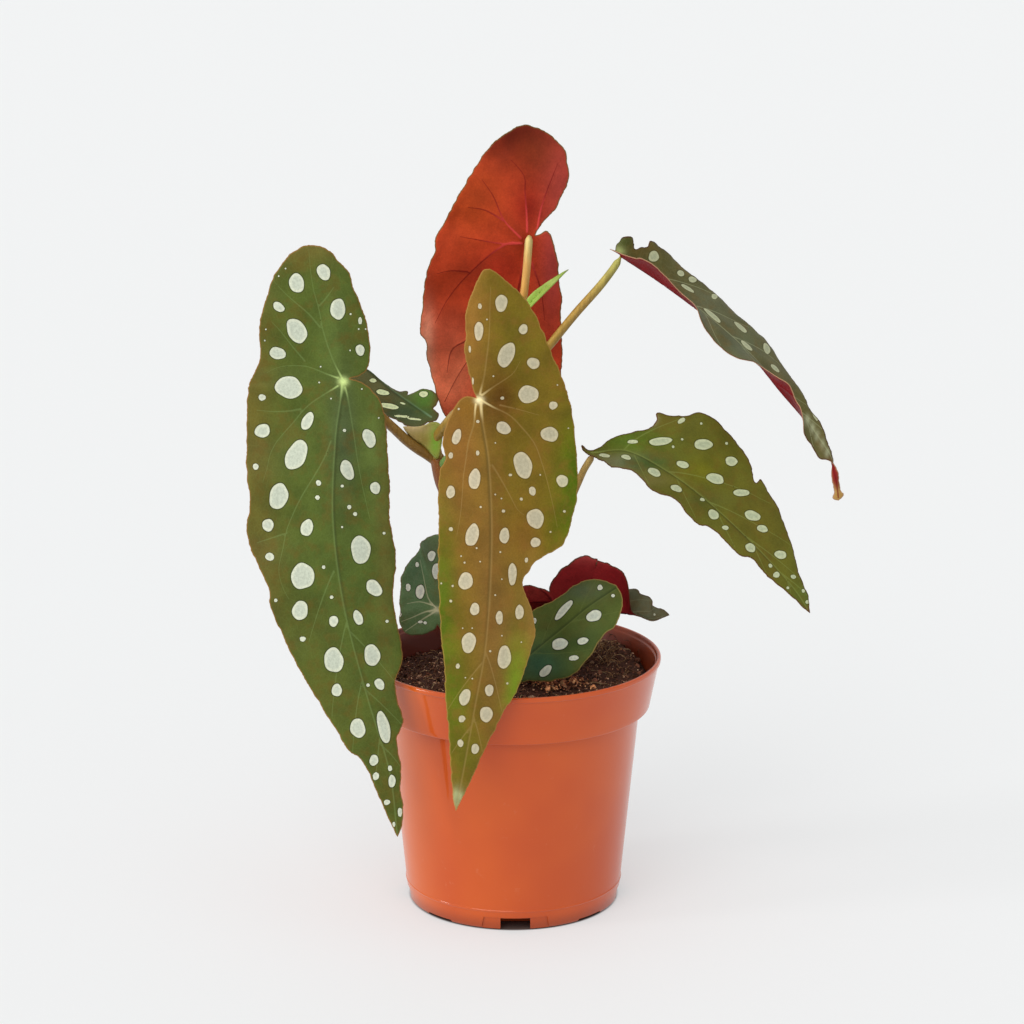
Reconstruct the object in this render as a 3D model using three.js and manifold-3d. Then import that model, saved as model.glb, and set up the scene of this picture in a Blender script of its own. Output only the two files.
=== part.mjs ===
// A polka dot begonia in a plain nursery pot.
// Millimetres, +Z up, the origin under the middle of the pot on the surface it stands on,
// -Y towards the side that the plant shows.
import * as THREE from 'three';
import { mergeVertices } from 'three/addons/utils/BufferGeometryUtils.js';
import Module from 'manifold-3d';

const wasm = await Module();
wasm.setup();

// Driving dimensions
const POT_HEIGHT = 103;
const RIM_RADIUS = 60;
const RIM_BAND = 20;            // height of the wider band under the lip
const BAND_FOOT_RADIUS = 56;    // outer radius where that band ends
const SHOULDER_RADIUS = 51.5;   // outer radius of the wall just under the band
const BASE_RADIUS = 43.5;
const BASE_EDGE = 1.3;          // rounding of the base edge
const WALL = 1.5;
const FOOT_SLOTS = 4;           // with a low notch between each two
const SLOT_TURN = 1;            // degrees from the front to the first slot
const SLOT_WIDTH = 10.8;
const SLOT_HEIGHT = 5;
const SLOT_DEPTH = 10;          // how far a slot runs in from the wall
const DRAIN = 4.5;              // radial width of the drain opening over a slot
const DRAIN_INSET = 2;          // from the slot's end and sides
const PAST = 5;                 // how far a cutting block reaches past the pot
const NOTCH_WIDTH = 13.4;
const NOTCH_HEIGHT = 1.3;
const NOTCH_DEPTH = 5;
const PANEL_WIDTH = 25;         // the shallow panel in the wall round each slot
const PANEL_HEIGHT = 5.4;
const PANEL_DEPTH = 0.4;
const SOIL_TOP = 91.5;
const SOIL_MOUND = 1.2;         // how much higher the soil is in the middle
const GAP = 0.3;                // clearance between neighbouring pieces
const BLADE = 0.8;              // thickness of a leaf blade
const ROOT_DEPTH = 70;          // height at which the stems end in the soil
const AROUND = 60;              // facets round the pot

const SCENE = new THREE.Group();
const V = (p) => new THREE.Vector3(...p);

// One closed, merged mesh without the triangles that merging made empty
function weld(geometry) {
  const bare = geometry.clone();
  bare.deleteAttribute('normal');
  bare.deleteAttribute('uv');
  const merged = mergeVertices(bare, 1e-4);
  const index = merged.index.array;
  const kept = [];
  for (let i = 0; i < index.length; i += 3) {
    const [a, b, c] = index.slice(i, i + 3);
    if (a !== b && b !== c && c !== a) kept.push(a, b, c);
  }
  merged.setIndex(kept);
  if (volume(merged) < 0) merged.setIndex(kept.reverse());
  return merged;
}

function volume(geometry) {
  const at = geometry.attributes.position;
  const index = geometry.index.array;
  const [a, b, c] = [new THREE.Vector3(), new THREE.Vector3(), new THREE.Vector3()];
  let sum = 0;
  for (let i = 0; i < index.length; i += 3) {
    a.fromBufferAttribute(at, index[i]);
    b.fromBufferAttribute(at, index[i + 1]);
    c.fromBufferAttribute(at, index[i + 2]);
    sum += a.dot(b.cross(c)) / 6;
  }
  return sum;
}

function solid(geometry) {
  const merged = weld(geometry);
  return new wasm.Manifold(new wasm.Mesh({
    numProp: 3,
    vertProperties: new Float32Array(merged.attributes.position.array),
    triVerts: new Uint32Array(merged.index.array),
  }));
}

function geometryOf(manifold) {
  const mesh = manifold.getMesh();
  const geometry = new THREE.BufferGeometry();
  geometry.setAttribute('position', new THREE.BufferAttribute(new Float32Array(mesh.vertProperties), 3));
  geometry.setIndex(Array.from(mesh.triVerts));
  return geometry;
}

// What is left of a piece beside its neighbours, without the scraps cut off by them
function beside(geometry, ...neighbours) {
  let left = solid(geometry);
  for (const neighbour of neighbours) left = left.subtract(solid(neighbour));
  const pieces = left.decompose();
  pieces.sort((a, b) => b.volume() - a.volume());
  return geometryOf(pieces[0]);
}

function add(name, geometry, material) {
  geometry.computeVertexNormals();
  const mesh = new THREE.Mesh(geometry, material);
  mesh.name = name;
  SCENE.add(mesh);
}

const material = (color, roughness) => new THREE.MeshStandardMaterial({ color, roughness, metalness: 0 });

// Uniform Catmull-Rom through a list of numbers, at u = 0 .. length - 1
function between(list, u) {
  const last = list.length - 1;
  const i = Math.min(Math.floor(Math.max(u, 0)), last - 1);
  const t = Math.min(u, last) - i;
  const before = i > 0 ? list[i - 1] : 2 * list[0] - list[1];
  const after = i < last - 1 ? list[i + 2] : 2 * list[last] - list[last - 1];
  const [p, q] = [list[i], list[i + 1]];
  const bend = 2 * before - 5 * p + 4 * q - after;
  const rest = -before + 3 * p - 3 * q + after;
  return 0.5 * (2 * p + (q - before) * t + bend * t * t + rest * t * t * t);
}

// A round stem: a lathed profile with its axis bent onto a smooth curve through the points.
// The radii are spread evenly from its root to its end.
function stem({ points, radii, sides = 8, steps = 12 }, grow = 0) {
  const curve = new THREE.CatmullRomCurve3(points.map(V), false, 'catmullrom', 0.5);
  const profile = [new THREE.Vector2(0, 0)];
  for (let i = 0; i <= steps; i++) {
    const radius = between(radii, (i / steps) * (radii.length - 1));
    profile.push(new THREE.Vector2(radius + grow, i));
  }
  profile.push(new THREE.Vector2(0, steps));
  const geometry = new THREE.LatheGeometry(profile, sides);
  const frames = curve.computeFrenetFrames(steps, false);
  const at = geometry.attributes.position;
  const p = new THREE.Vector3();
  for (let i = 0; i < at.count; i++) {
    p.fromBufferAttribute(at, i);
    const step = Math.round(p.y);
    const along = step === 0 ? -grow : step === steps ? grow : 0;
    const centre = curve.getPointAt(step / steps);
    centre.addScaledVector(frames.tangents[step], along);
    centre.addScaledVector(frames.normals[step], p.x);
    centre.addScaledVector(frames.binormals[step], p.z);
    at.setXYZ(i, centre.x, centre.y, centre.z);
  }
  return weld(geometry);
}

// A leaf blade as it lies flat: a runs along the midrib, 0 at the stalk, up to the tip and
// below 0 into the lobe beside the stalk; b runs across, above 0 into the wider half.
// The flat blade is bent onto the spine, its halves rise by so many degrees from the midrib
// at each point of the spine, curl towards their margins and wave along them.
class Leaf {
  constructor(data) {
    Object.assign(this, { curl: 0, wave: [0, 30, 0], turn: data.spine.map(() => 0) }, data);
    this.curve = new THREE.CatmullRomCurve3(this.spine.map(V), false, 'catmullrom', 0.5);
    this.lengths = this.curve.getLengths(600);
    this.start = this.lengths[Math.round((600 * this.stalkAt) / (this.spine.length - 1))];
  }

  spineAt(a) {
    const last = this.lengths.length - 1;
    const length = Math.min(Math.max(a + this.start, 0), this.lengths[last]);
    let i = this.lengths.findIndex((l) => l >= length);
    i = Math.max(i, 1);
    const part = (length - this.lengths[i - 1]) / (this.lengths[i] - this.lengths[i - 1]);
    const t = (i - 1 + part) / last;
    return { t, over: a + this.start - length };
  }

  place(a, b) {
    const { t, over } = this.spineAt(a);
    const u = t * (this.spine.length - 1);
    const reach = 0.02 / (this.spine.length - 1);
    const ahead = this.curve.getPoint(Math.min(t + reach, 1));
    const along = ahead.sub(this.curve.getPoint(Math.max(t - reach, 0))).normalize();
    const point = this.curve.getPoint(t).addScaledVector(along, over);
    const up = V(this.face);
    up.addScaledVector(along, -up.dot(along)).normalize();
    up.applyAxisAngle(along, THREE.MathUtils.degToRad(between(this.turn, u)));
    const across = along.clone().cross(up).multiplyScalar(this.hand);
    const rise = THREE.MathUtils.degToRad(between(b >= 0 ? this.rise.wide : this.rise.narrow, u));
    const out = Math.abs(b);
    const angle = rise - (this.curl * out) / 2;
    const [height, length, phase] = this.wave;
    const reachOut = Math.min(out / 20, 1.5);
    const swing = height * reachOut ** 2 * Math.sin((2 * Math.PI * a) / length + phase);
    point.addScaledVector(across, Math.sign(b) * out * Math.cos(angle));
    return point.addScaledVector(up, out * Math.sin(angle) + Math.sign(b || 1) * swing);
  }
}

// Points spread evenly along a smooth line through an outline's points
function spread(outline, count) {
  const line = new THREE.CatmullRomCurve3(outline.map(([a, b]) => V([a, b, 0])), false, 'catmullrom', 0.5);
  line.arcLengthDivisions = 400;
  return line.getSpacedPoints(count);
}

function lengthOf(outline) {
  let sum = 0;
  for (let i = 1; i < outline.length; i++) {
    sum += Math.hypot(outline[i][0] - outline[i - 1][0], outline[i][1] - outline[i - 1][1]);
  }
  return sum;
}

// The blade as a thin solid: ribs run from the midrib out to both margins, and both faces
// carry the same triangles.
function blade(data, grow = 0) {
  const leaf = new Leaf(data);
  const { ribs, cells } = data;
  const wide = spread(data.wide, ribs);
  const share = lengthOf(data.lobe) / (lengthOf(data.lobe) + lengthOf(data.narrow));
  const lobeRibs = Math.max(2, Math.round(ribs * share));
  const narrow = [...spread(data.lobe, lobeRibs), ...spread(data.narrow, ribs - lobeRibs).slice(1)];
  const first = Math.min(wide[0].x, narrow[0].x) + Math.max(2, Math.min(-data.wide[0][0] / 2, 7));
  const last = wide[ribs].x - 1;
  const sheet = [];
  const index = [];
  const columns = 2 * cells + 1;
  let foot = first;
  for (let k = 0; k <= ribs; k++) {
    foot = Math.max(foot, Math.min((wide[k].x + narrow[k].x) / 2, last));
    for (let j = -cells; j <= cells; j++) {
      const end = j < 0 ? wide[k] : narrow[k];
      const t = Math.abs(j) / cells;
      sheet.push(...leaf.place(foot + (end.x - foot) * t, end.y * t).toArray());
    }
  }
  for (let k = 0; k < ribs; k++) {
    for (let j = 0; j < columns - 1; j++) {
      const [p, q] = [k * columns + j, (k + 1) * columns + j];
      if (j < cells) index.push(p, q, q + 1, p, q + 1, p + 1);
      else index.push(p, q, p + 1, q, q + 1, p + 1);
    }
  }
  const flat = new THREE.BufferGeometry();
  flat.setAttribute('position', new THREE.Float32BufferAttribute(sheet, 3));
  flat.setIndex(index);
  return thicken(flat, BLADE / 2 + grow);
}

// A closed solid from an open sheet, with a face on either side of it
function thicken(flat, half) {
  const sheet = mergeVertices(flat, 1e-4);
  const kept = [];
  const faces = sheet.index.array;
  for (let i = 0; i < faces.length; i += 3) {
    const [a, b, c] = faces.slice(i, i + 3);
    if (a !== b && b !== c && c !== a) kept.push([a, b, c]);
  }
  sheet.setIndex(kept.flat());
  sheet.computeVertexNormals();
  const at = sheet.attributes.position;
  const normals = sheet.attributes.normal;
  const points = [];
  for (const side of [half, -half]) {
    for (let i = 0; i < at.count; i++) {
      const p = new THREE.Vector3().fromBufferAttribute(at, i);
      p.addScaledVector(new THREE.Vector3().fromBufferAttribute(normals, i), side);
      points.push(p.x, p.y, p.z);
    }
  }
  const edges = new Map();
  for (const [a, b, c] of kept) {
    for (const [p, q] of [[a, b], [b, c], [c, a]]) edges.set(`${p},${q}`, [p, q]);
  }
  const index = [];
  for (const [a, b, c] of kept) {
    index.push(a, b, c, a + at.count, c + at.count, b + at.count);
  }
  for (const [p, q] of edges.values()) {
    if (edges.has(`${q},${p}`)) continue;
    index.push(q, p, p + at.count, q, p + at.count, q + at.count);
  }
  const closed = new THREE.BufferGeometry();
  closed.setAttribute('position', new THREE.Float32BufferAttribute(points, 3));
  closed.setIndex(index);
  if (volume(closed) < 0) closed.setIndex(index.reverse());
  return closed;
}

// The nine leaves. Each stalk's points run from its root to just under the blade, and the
// stalk then ends in the blade's own attachment point.
const LEAVES = {
  left: {
    spine: [
      [-72, -17, 267.5], [-69, -20, 244], [-67, -24, 221], [-69.5, -30, 199.5], [-70.5, -37, 169],
      [-66.5, -43, 136], [-58, -48, 102], [-49, -50, 70], [-46, -49, 42],
    ],
    stalkAt: 2,
    face: [-0.1, -0.95, 0.25],
    hand: 1,
    rise: {
      wide: [-8, -10, -12, -14, -12, -10, -8, -6, -4],
      narrow: [-8, -12, -16, -20, -18, -14, -10, -8, -4],
    },
    curl: -0.004,
    wave: [0.9, 34, 0.5],
    wide: [
      [-55, 4], [-52, 14], [-44, 22], [-36, 27], [-25, 31], [-13, 33], [-3, 37], [8, 38], [22, 37.5],
      [35, 36], [47, 34], [55, 36], [62, 35], [71, 31], [78, 29], [86, 29.5], [100, 25.5], [118, 21],
      [135, 16], [145, 13.5], [150, 10], [167, 6], [181, 1.5], [184.5, 0],
    ],
    lobe: [
      [-55, 4], [-52, -0.5], [-47, -4], [-42, -7.5], [-35, -8.5], [-30, -10], [-19, -12],
      [-9, -11.5], [-4, -9.5], [-1.5, -3],
    ],
    narrow: [
      [-1.5, -3], [0, -8], [4, -14], [10, -18], [18, -20], [37, -22], [54, -22.5], [72, -23],
      [87, -20], [105, -18.5], [114, -17.5], [122, -12.5], [130, -11], [139, -10.5], [145, -6],
      [155, -5], [165, -3], [171, -3.5], [180, -2], [184.5, 0],
    ],
    ribs: 36,
    cells: 3,
    color: 0x5f6f2e,
    stalk: {
      points: [
        [-30, -3.5, 184.5], [-34, -4.5, 187.5], [-38, -7, 190.5], [-42.5, -9.5, 194.5],
        [-46.5, -12, 199], [-51, -14.5, 204], [-57, -17.5, 211.5], [-66.5, -21.5, 220],
      ],
      radii: [2.6, 2.1, 1.9, 1.8, 1.7],
    },
    stem: 'left',
  },
  front: {
    spine: [
      [-9.5, -40, 266.5], [-9.5, -42, 241.5], [-12.5, -45, 217.5], [-9.5, -51, 194.5],
      [-8.5, -58, 164.5], [-10.5, -65, 128.5], [-15, -68, 102], [-19, -70, 79.5], [-22.5, -70, 60.5],
    ],
    stalkAt: 2,
    face: [0.12, -0.95, 0.2],
    hand: -1,
    rise: {
      wide: [-8, -10, -12, -14, -12, -10, -8, -6, -4],
      narrow: [-14, -16, -20, -24, -22, -18, -12, -8, -4],
    },
    curl: -0.004,
    wave: [0.8, 31, 1.2],
    wide: [
      [-52, 0], [-48, 6], [-40, 14], [-32, 19], [-24, 23.5], [-17, 29], [-8, 34], [7, 36], [20, 36],
      [34, 35], [43, 33.5], [53, 30], [56, 27], [60, 19.5], [64, 15.5], [69, 13], [75, 15],
      [80, 17.5], [88, 19], [97, 17.5], [109, 15.5], [121, 11], [136, 6.5], [151, 2.8], [158, 1],
      [161, 0],
    ],
    lobe: [
      [-52, 0], [-50, -3], [-44, -6], [-36, -9], [-25, -9], [-19, -9], [-12, -6.5], [-5, -3.5],
      [-2, -2],
    ],
    narrow: [
      [-2, -2], [-2.2, -5], [-1, -8], [1.5, -10.5], [6, -14], [12, -17], [19, -17], [26, -20],
      [39, -21], [54, -21], [70, -20.5], [91, -18], [108, -14], [120, -11], [138, -6.5], [152, -3],
      [161, 0],
    ],
    ribs: 36,
    cells: 3,
    color: 0x7d6a25,
    stalk: {
      points: [
        [-30.3, -5, 186], [-31, -6, 193.5], [-26.5, -14, 202], [-21.5, -26, 210], [-15, -38, 215.8],
        [-12.8, -42.6, 217],
      ],
      radii: [2.3, 2, 1.9, 1.7, 1.6],
    },
    stem: 'left',
  },
  back: {
    spine: [
      [7, 12, 316], [7.5, 9, 295.5], [6, 9, 273], [1, 18, 245.5], [-4.5, 29, 214.5],
      [-7, 38, 183.5], [-6, 43, 156.5], [-4.5, 45, 133.5],
    ],
    stalkAt: 2,
    face: [0, 0.95, 0.15],
    hand: -1,
    rise: {
      wide: [-4, -6, -8, -8, -8, -6, -4, -2],
      narrow: [-4, -6, -8, -8, -8, -6, -4, -2],
    },
    wave: [1, 33, 2],
    wide: [
      [-44.5, 2], [-41, 11], [-35, 18], [-25, 24.5], [-12, 31], [-2, 34.5], [4, 37], [10, 36.5],
      [19, 38], [32, 37.5], [47, 36], [51, 33], [60, 31.5], [75, 25.5], [93, 18], [118, 10],
      [137, 3.5], [145.5, 0],
    ],
    lobe: [
      [-44.5, 2], [-41, -6.5], [-36.8, -10.7], [-33, -13.2], [-28, -14], [-23, -14.4], [-17, -12],
      [-12, -9.4], [-7.5, -6], [-4, -3.6], [-1, -2.6],
    ],
    narrow: [
      [-1, -2.6], [-1, -6.5], [1.5, -10.2], [8, -13.2], [17, -15.5],
      [24, -18], [33, -19.3], [46, -22.3], [58, -23.8], [76, -23], [88, -21], [104, -17],
      [118, -12], [132, -6.5], [145.5, 0],
    ],
    ribs: 32,
    cells: 3,
    color: 0xa03a1c,
    stalk: {
      points: [
        [1.8, 4.7, 236], [2.6, 4.5, 242], [3.8, 4.8, 248], [5.2, 5.3, 260], [6.2, 6.8, 272.5],
      ],
      radii: [1.7, 1.6, 1.6, 1.6],
    },
    stem: 'right',
  },
  upper_right: {
    spine: [
      [40, 3, 268.5], [42.5, 0, 267], [56, -2, 258.5], [69.5, -4, 249], [82, -7, 239.5],
      [95.2, -10, 227.5], [105.6, -12, 215.1], [114.2, -13, 205.2], [121, -13, 196], [126, -12, 188],
      [128, -11, 179.5], [129.5, -10, 170.5],
    ],
    stalkAt: 1,
    face: [0, 0, 1],
    hand: -1,
    rise: {
      wide: [70, 60, 30, 18, 12, 12, 12, 12, 10, 10, 10, 0],
      narrow: [20, 30, 33, 22, -16, 6, 34, 24, 10, 10, 10, 0],
    },
    turn: [0, 0, 0, 0, 0, 0, 0, 24, 75, 60, -70, -70],
    wave: [0.5, 27, 0.4],
    wide: [
      [-4, 0], [-5, 3], [-3, 6.5], [-1, 8.5], [1.5, 7], [3, 5.5], [5, 7.7], [7, 10], [6.5, 13],
      [10.5, 14.2], [18, 15.8], [34, 16], [42, 17.5], [52, 18], [60, 17.6], [68, 19], [80, 17.2],
      [90.5, 11], [96, 6], [99, 4.8], [104, 4], [108, 3], [116, 1], [121, 1.2], [127, 1.6],
      [132, 1.3], [134.5, 2.2], [136, 0],
    ],
    lobe: [[-4, 0], [-3, -3], [0, -2.5]],
    narrow: [
      [0, -2.5], [4.7, -5.5], [7.7, -9.5], [13, -9.7], [20, -7], [29, -3.5], [34, -6], [40, -11],
      [48.5, -10], [57, -12], [63, -12.5], [67, -9], [70, -6.5], [76, -8], [82, -10.5], [88.5, -7.5],
      [92, -10.2], [96, -10.4], [99, -8.6], [103, -6], [107, -4.5], [114, -5], [117, -2.4],
      [121, -1.2], [127, -1.6], [132, -1.4], [134, -2.6], [136, 0],
    ],
    ribs: 36,
    cells: 2,
    color: 0x57592f,
    stalk: {
      points: [
        [0.6, 4.3, 211], [6.5, 3.5, 221], [14.5, 3, 230.6], [24.5, 2.5, 243.2], [33.5, 2, 253.6],
        [38.5, 1.2, 260.2], [41.3, 0.5, 264.6],
      ],
      radii: [2, 1.75, 1.7, 1.65, 1.4],
    },
    stem: 'right',
  },
  lower_right: {
    spine: [
      [26.5, -4, 191], [31, -8, 189], [45, -14, 191], [60.5, -21, 184.5], [75.5, -27, 174.5],
      [94, -32, 158], [109, -35, 142], [117, -36, 130.5],
    ],
    stalkAt: 1,
    face: [0.25, -0.7, 0.65],
    hand: -1,
    rise: { wide: [0, 10, 10, 4, 0, -4, -4, -2], narrow: [0, 8, 12, 12, 10, 6, 2, 0] },
    curl: -0.003,
    wave: [0.7, 26, 0],
    wide: [
      [-6, 0.5], [-2, 1], [2, 1.5], [8, 5], [14, 8], [19, 13], [19.5, 17], [18.5, 20.5], [22, 22],
      [26, 25], [30, 29], [36, 30.5], [43, 31], [50, 29], [56, 26], [62.5, 21.5], [63.5, 24.5],
      [69, 23.5], [75, 22], [82, 17.5], [91, 12.5], [101, 6], [109, 3.5], [114, 0],
    ],
    lobe: [[-6, 0.5], [-3, -1], [1, -2]],
    narrow: [
      [1, -2], [7, -6], [12, -10], [18, -11], [24, -10], [29, -11.5], [36, -13.5], [44, -10.5],
      [52, -12.5], [57, -12.5], [61, -9.5], [68, -9], [77, -9], [82, -5.5], [90, -6], [97, -4.5],
      [106, -2.5], [114, 0],
    ],
    ribs: 32,
    cells: 2,
    color: 0x68672a,
    stalk: {
      points: [
        [-2.2, 3.2, 134], [6.5, 2, 142], [14.5, 0, 152.5], [21.5, -2, 165], [25.5, -3.6, 174.5],
        [28.3, -5.2, 181.5], [31.3, -6.6, 187],
      ],
      radii: [2, 1.6, 1.5, 1.4, 1.4],
    },
    stem: 'right',
  },
  behind_left: {
    spine: [
      [-29, 7, 197.5], [-33, 11, 199], [-40.5, 20, 202], [-48, 28, 205.5], [-54, 34, 209],
      [-60, 38, 213], [-66.5, 44, 213], [-72.5, 50, 207.5],
    ],
    stalkAt: 1,
    face: [-0.1, -0.35, 0.93],
    hand: 1,
    rise: {
      wide: [30, 24, 18, 0, -60, -75, -70, -40],
      narrow: [10, -10, -20, -20, -20, -20, -20, -10],
    },
    wave: [0.4, 22, 1],
    wide: [
      [-3, 0], [-1.5, 2.6], [1.8, 4], [4.5, 7.2], [7.5, 9.2], [11, 9.6], [15, 8.7],
      [17.3, 5.8], [18.5, 2], [20, 3.6], [21.5, 3.2], [22.5, 1.6], [26, 0.8], [31, 1.6], [36, 4.5],
      [43, 8], [51, 8.5], [58, 5], [63, 0],
    ],
    lobe: [[-3, 0], [-2, -2], [-0.8, -3]],
    narrow: [
      [-0.8, -3], [-0.8, -5], [0.5, -8], [7.4, -9.2], [14, -9.6], [20, -11], [28, -13], [38, -15],
      [48, -13], [57, -8], [63, 0],
    ],
    ribs: 22,
    cells: 2,
    color: 0x44562f,
    stalk: {
      points: [[-30.8, -5, 186.5], [-31.5, -1, 188.5], [-32.7, 6.5, 191.5], [-33.2, 11.2, 196]],
      radii: [2, 1.7, 1.5],
      steps: 7,
    },
    stem: 'left',
  },
  low_left: {
    spine: [[-45.5, 8, 118], [-31, 12, 117.5], [-20, 20, 117], [-9.5, 27, 116.5], [-0.5, 32, 116.5]],
    stalkAt: 1,
    face: [0.2, -0.8, 0.55],
    hand: -1,
    rise: { wide: [-6, -8, -8, -6, -4], narrow: [-10, -12, -12, -10, -6] },
    wave: [0.5, 24, 0.6],
    wide: [
      [-16, 0], [-15.5, 5], [-14.5, 10], [-13.5, 16], [-11, 21], [-7, 25.5], [-2.5, 28.5],
      [4, 30], [9, 32], [15, 34], [23, 31], [30, 22], [34, 10], [36.5, 0],
    ],
    lobe: [[-16, 0], [-16.5, -4], [-14, -8.5], [-8, -9.5], [-3, -8], [-1, -5.5]],
    narrow: [[-1, -5.5], [1, -8.5], [4, -10], [10, -10], [20, -9.5], [29, -7], [36.5, 0]],
    ribs: 20,
    cells: 3,
    color: 0x3c5130,
    stalk: {
      points: [
        [-20, 14, ROOT_DEPTH], [-20, 14, 82], [-20.5, 14.2, 92], [-25, 16, 105], [-31.6, 13.8, 115.6],
      ],
      radii: [1.8, 1.7, 1.6, 1.4],
    },
  },
  low_front: {
    spine: [[0.5, -14, 101], [10.5, -15, 110], [20.5, -15, 118.5], [30.5, -13, 126.5], [42, -8, 133]],
    stalkAt: 0,
    face: [-0.15, -0.85, 0.45],
    hand: 1,
    rise: { wide: [-4, -4, -4, -4, 0], narrow: [-10, -14, -14, -14, -10] },
    wave: [0.5, 25, 0],
    wide: [
      [-5, 0], [-3, 5], [2, 8], [6, 11.5], [10, 14], [18, 17], [26, 16], [32, 14], [38, 12.5],
      [44, 12], [50, 8], [53.5, 3], [54, -1],
    ],
    lobe: [[-5, 0], [-4, -5], [0, -4]],
    narrow: [
      [0, -4], [6, -10], [14, -14], [20, -15], [27, -13.5], [34, -12], [40, -12], [45, -11],
      [50, -8], [54, -1],
    ],
    ribs: 20,
    cells: 2,
    color: 0x3f5434,
    stalk: {
      points: [
        [-6, -9, ROOT_DEPTH], [-6, -9, 80], [-5.5, -9, 90], [-3, -10, 95.5], [0.9, -11.8, 99.6],
      ],
      radii: [1.7, 1.7, 1.6, 1.4],
    },
  },
  low_right: {
    spine: [
      [6, 8, 123.5], [15.5, 10, 122], [29.5, 12, 117.5], [43.5, 12, 117], [50.5, 11, 116],
      [56.5, 10, 114.5], [61.5, 9, 116],
    ],
    stalkAt: 1,
    face: [0, 0.97, 0.25],
    hand: -1,
    rise: { wide: [30, 35, 70, 105, 95, 75, 50], narrow: [0, 0, 0, 0, 0, 0, 0] },
    turn: [0, 0, 0, 5, 60, 80, 100],
    wave: [0.3, 22, 0.5],
    wide: [
      [-13, 0], [-12, 7], [-4, 13], [8, 16], [20, 15], [30, 11.5], [35.5, 9.2], [43, 6], [48, 2.4],
      [50, 0],
    ],
    lobe: [[-13, 0], [-12, -4.5], [-9, -6], [-5, -6.6], [-2.6, -7.4]],
    narrow: [
      [-2.6, -7.4], [-1.6, -11], [-0.5, -15], [1.2, -19.7], [2.8, -23.6], [5.6, -25.3], [14, -24.3],
      [23, -23.3], [25.7, -22.1], [28, -21], [29.7, -19.4], [31, -17.4], [32.3, -13.8], [33.6, -7],
      [36, -3], [43, -1.8], [50, 0],
    ],
    ribs: 24,
    cells: 2,
    color: 0x7b1a22,
    stalk: {
      points: [
        [11, 5, ROOT_DEPTH], [11, 5, 82], [11.2, 5, 93], [12.5, 5.5, 108], [15.5, 7.6, 120.8],
      ],
      radii: [1.8, 1.7, 1.6, 1.4],
    },
  },
};

// The two canes, swollen where leaves grow from them
const STEMS = {
  left: {
    points: [
      [-14.5, 8, ROOT_DEPTH], [-14.5, 8, 82], [-14.8, 7.8, 93], [-17.5, 6, 124], [-22.5, 2, 154],
      [-27, -2, 172], [-30.5, -5, 186.5],
    ],
    radii: [3.4, 3.5, 3.3, 3.1, 3.6, 3, 2.9, 2.8, 3.5, 2.8, 2.7, 3.4, 2.8],
    sides: 10,
    steps: 24,
  },
  right: {
    points: [
      [-5.5, 2, ROOT_DEPTH], [-5.5, 2, 82], [-5.2, 2.1, 93], [-3.2, 3, 115], [-1.8, 3.5, 141],
      [-0.6, 4, 175], [0.6, 4.5, 211], [2, 4.8, 239.5],
    ],
    radii: [3.4, 3.5, 3.3, 3.1, 3.7, 3, 3, 3.5, 2.9, 2.8, 3.5, 2.6, 2.9, 2.2],
    sides: 10,
    steps: 28,
  },
};

// The green sheath at the top of the left cane, folded like the bow of a boat
const SHEATH = {
  spine: [[-31, -8.5, 187.5], [-35, -8.5, 192], [-39.5, -9.5, 195.5], [-43.5, -11.5, 200]],
  stalkAt: 0,
  face: [0, -1, 0.3],
  hand: 1,
  rise: { wide: [12, 12, 12, 12], narrow: [-75, -75, -75, -75] },
  wide: [
    [-1, 0], [-0.5, 1.5], [3, 6], [6.5, 10.2], [7.5, 10.5], [9, 9.5], [12, 6.8], [15, 3.6],
    [18, 0.8], [18.5, 0],
  ],
  lobe: [[-1, 0], [0, -1.5], [3, -2.3]],
  narrow: [[3, -2.3], [8, -2.6], [13, -2], [18.5, 0]],
  ribs: 10,
  cells: 2,
};

// The pointed green bract at the top of the right cane
const BRACT = {
  spine: [[2.8, 3, 241.5], [7.5, 0.4, 248.5], [13.5, -1, 254.8], [19.5, -2, 260.2], [24, -3, 263.5]],
  stalkAt: 0,
  face: [-0.4, -0.75, 0.5],
  hand: 1,
  rise: { wide: [40, 34, 26, 18, 10], narrow: [40, 34, 26, 18, 10] },
  wide: [[0, 0], [3, 1.3], [10, 2], [18, 1.3], [28.5, 0]],
  lobe: [[0, 0], [1.5, -0.8], [3, -1.4]],
  narrow: [[3, -1.4], [10, -2], [18, -1.2], [28.5, 0]],
  ribs: 10,
  cells: 1,
};

const BUD = {
  points: [[-28.4, -6.5, 182.5], [-27.6, -8, 185.2], [-27.2, -8.8, 187.8]],
  radii: [0.9, 1.6, 1.7, 1.2, 0.35],
  steps: 5,
};

// The line up the inside of the pot, from the middle of the floor to just under the lip
const BAND_FOOT = POT_HEIGHT - RIM_BAND;
const INSIDE = [
  [0, WALL], [BASE_RADIUS - WALL - 1, WALL], [BASE_RADIUS - WALL, WALL + 1],
  [SHOULDER_RADIUS - WALL, BAND_FOOT - 1.6], [SHOULDER_RADIUS - WALL + 0.4, BAND_FOOT],
  [BAND_FOOT_RADIUS - WALL, BAND_FOOT + 1.4], [RIM_RADIUS - WALL - 0.5, POT_HEIGHT - 0.8],
];

// A line moved sideways, to its left, by the same distance everywhere
function shifted(line, by) {
  const normals = [];
  for (let i = 1; i < line.length; i++) {
    const [x, y] = [line[i][0] - line[i - 1][0], line[i][1] - line[i - 1][1]];
    normals.push([-y / Math.hypot(x, y), x / Math.hypot(x, y)]);
  }
  return line.map(([x, y], i) => {
    const [p, q] = [normals[Math.max(i - 1, 0)], normals[Math.min(i, normals.length - 1)]];
    const reach = by / (1 + p[0] * q[0] + p[1] * q[1]);
    return [x + (p[0] + q[0]) * reach, y + (p[1] + q[1]) * reach];
  });
}

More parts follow.
